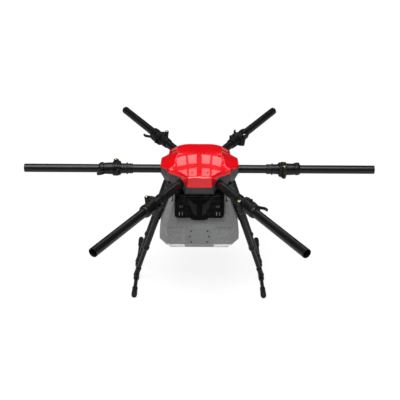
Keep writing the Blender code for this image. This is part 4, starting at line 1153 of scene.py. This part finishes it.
def build_floor():
    bm = bmesh.new()
    bmesh.ops.create_grid(bm, x_segments=8, y_segments=8, size=FLOOR_HALF)
    floor = linked("studio_floor", freed(bm, "floor"))
    n = Paint("floor_paper", Specular_IOR_Level=0.1)
    n.feed("Base Color", n.blend(n.band(n.noise(0.6, 3), 0.3, 0.7), grey(0.13), grey(0.14)))
    n.shader.inputs["Emission Color"].default_value = (1, 1, 1, 1)
    split = n.node("SeparateXYZ", n.coordinates).outputs
    dim = n.band(split["Y"], *DIM_FROM_TO, DIM_FRONT, DIM_BEHIND)
    dim = n.math("MULTIPLY", dim, n.node("LightPath").outputs["Is Glossy Ray"])
    n.feed("Emission Strength", n.math("MULTIPLY", n.math("SUBTRACT", 1.0, dim), FLOOR_GLOW))
    n.gloss(3, 2, 0.85, 0.95)
    floor.data.materials.append(n.material)


def build_world():
    """A sky that is dim in reflections except overhead, and white to the camera itself."""
    world = bpy.data.worlds.new("studio")
    bpy.context.scene.world = world
    world.use_nodes = True
    w = Wiring(world.node_tree)
    split = w.node("SeparateXYZ", w.node("TexCoord").outputs["Generated"]).outputs
    rise = w.band(split["Z"], *WORLD_RISE, WORLD_LOW, WORLD_HIGH, interpolation_type="SMOOTHSTEP")
    white = w.math("MAXIMUM", rise, w.node("LightPath").outputs["Is Camera Ray"])
    sky = w.tree.nodes["Background"]
    w.tree.links.new(white, sky.inputs["Strength"])
    sky.inputs["Color"].default_value = (1, 1, 1, 1)


def build_windows():
    """Two windows of four panes, on the line along which the front of the crown reflects."""
    for side in (-1, 1):
        for column, (inner, outer) in enumerate(PANE_COLUMNS):
            for row, (low, high) in enumerate(PANE_ROWS):
                aim = (low + high) / 2
                way = Vector((0, math.cos(math.radians(aim)), math.sin(math.radians(aim))))
                crown_y = CROWN_FRONT_Y - (aim - 45) * CROWN_FRONT_SHIFT
                crown = Vector((side * (inner + outer) / 2, crown_y, ARM_PLANE + CROWN_FRONT_Z))
                at = crown + way * WINDOW_FAR
                size = (outer - inner, 2 * WINDOW_FAR * math.tan(math.radians(high - low) / 2))
                area_light(f"window_{side}_{column}_{row}", at, crown, size, PANE_RADIANCE)


def build_strips():
    """Tall strips behind, for the bright line along the crown's crease."""
    aim = Vector((0, 0, ARM_PLANE))
    for sign in (-1, 1):
        way = Vector((sign * math.sin(STRIP_TURN), math.cos(STRIP_TURN), math.tan(STRIP_HEIGHT))).normalized()
        area_light(f"strip_{sign}", aim + way * STRIP_FAR, aim, STRIP_SIZE, STRIP_RADIANCE)


def build_lights():
    sun = bpy.data.lights.new("overhead", "SUN")
    sun.energy, sun.angle = SUN_STRENGTH, SUN_ANGLE
    linked("overhead", sun).rotation_euler = SUN_TURN
    build_windows()
    build_strips()


def build_camera():
    flat = math.cos(CAMERA_LIFT)
    back = Vector((math.sin(CAMERA_YAW) * flat, -math.cos(CAMERA_YAW) * flat, math.sin(CAMERA_LIFT)))
    right = (-back).cross(Vector((0, 0, 1))).normalized()
    up = right.cross(-back)
    rolled_right = right * math.cos(CAMERA_ROLL) + up * math.sin(CAMERA_ROLL)
    rolled_up = up * math.cos(CAMERA_ROLL) - right * math.sin(CAMERA_ROLL)
    data = bpy.data.cameras.new("camera")
    data.lens, data.sensor_width, data.clip_end = CAMERA_LENS, 36.0, 200
    camera = linked("camera", data)
    axes = Matrix((rolled_right, rolled_up, back)).transposed().to_4x4()
    camera.matrix_world = Matrix.Translation(CAMERA_AT) @ axes
    bpy.context.scene.camera = camera


build_camera()
build_floor()
build_world()
build_lights()
build_arms()
build_body()
build_battery()
build_tank()
build_legs()
build_skids()
bpy.context.scene.view_settings.view_transform = "Standard"
bpy.context.view_layer.update()
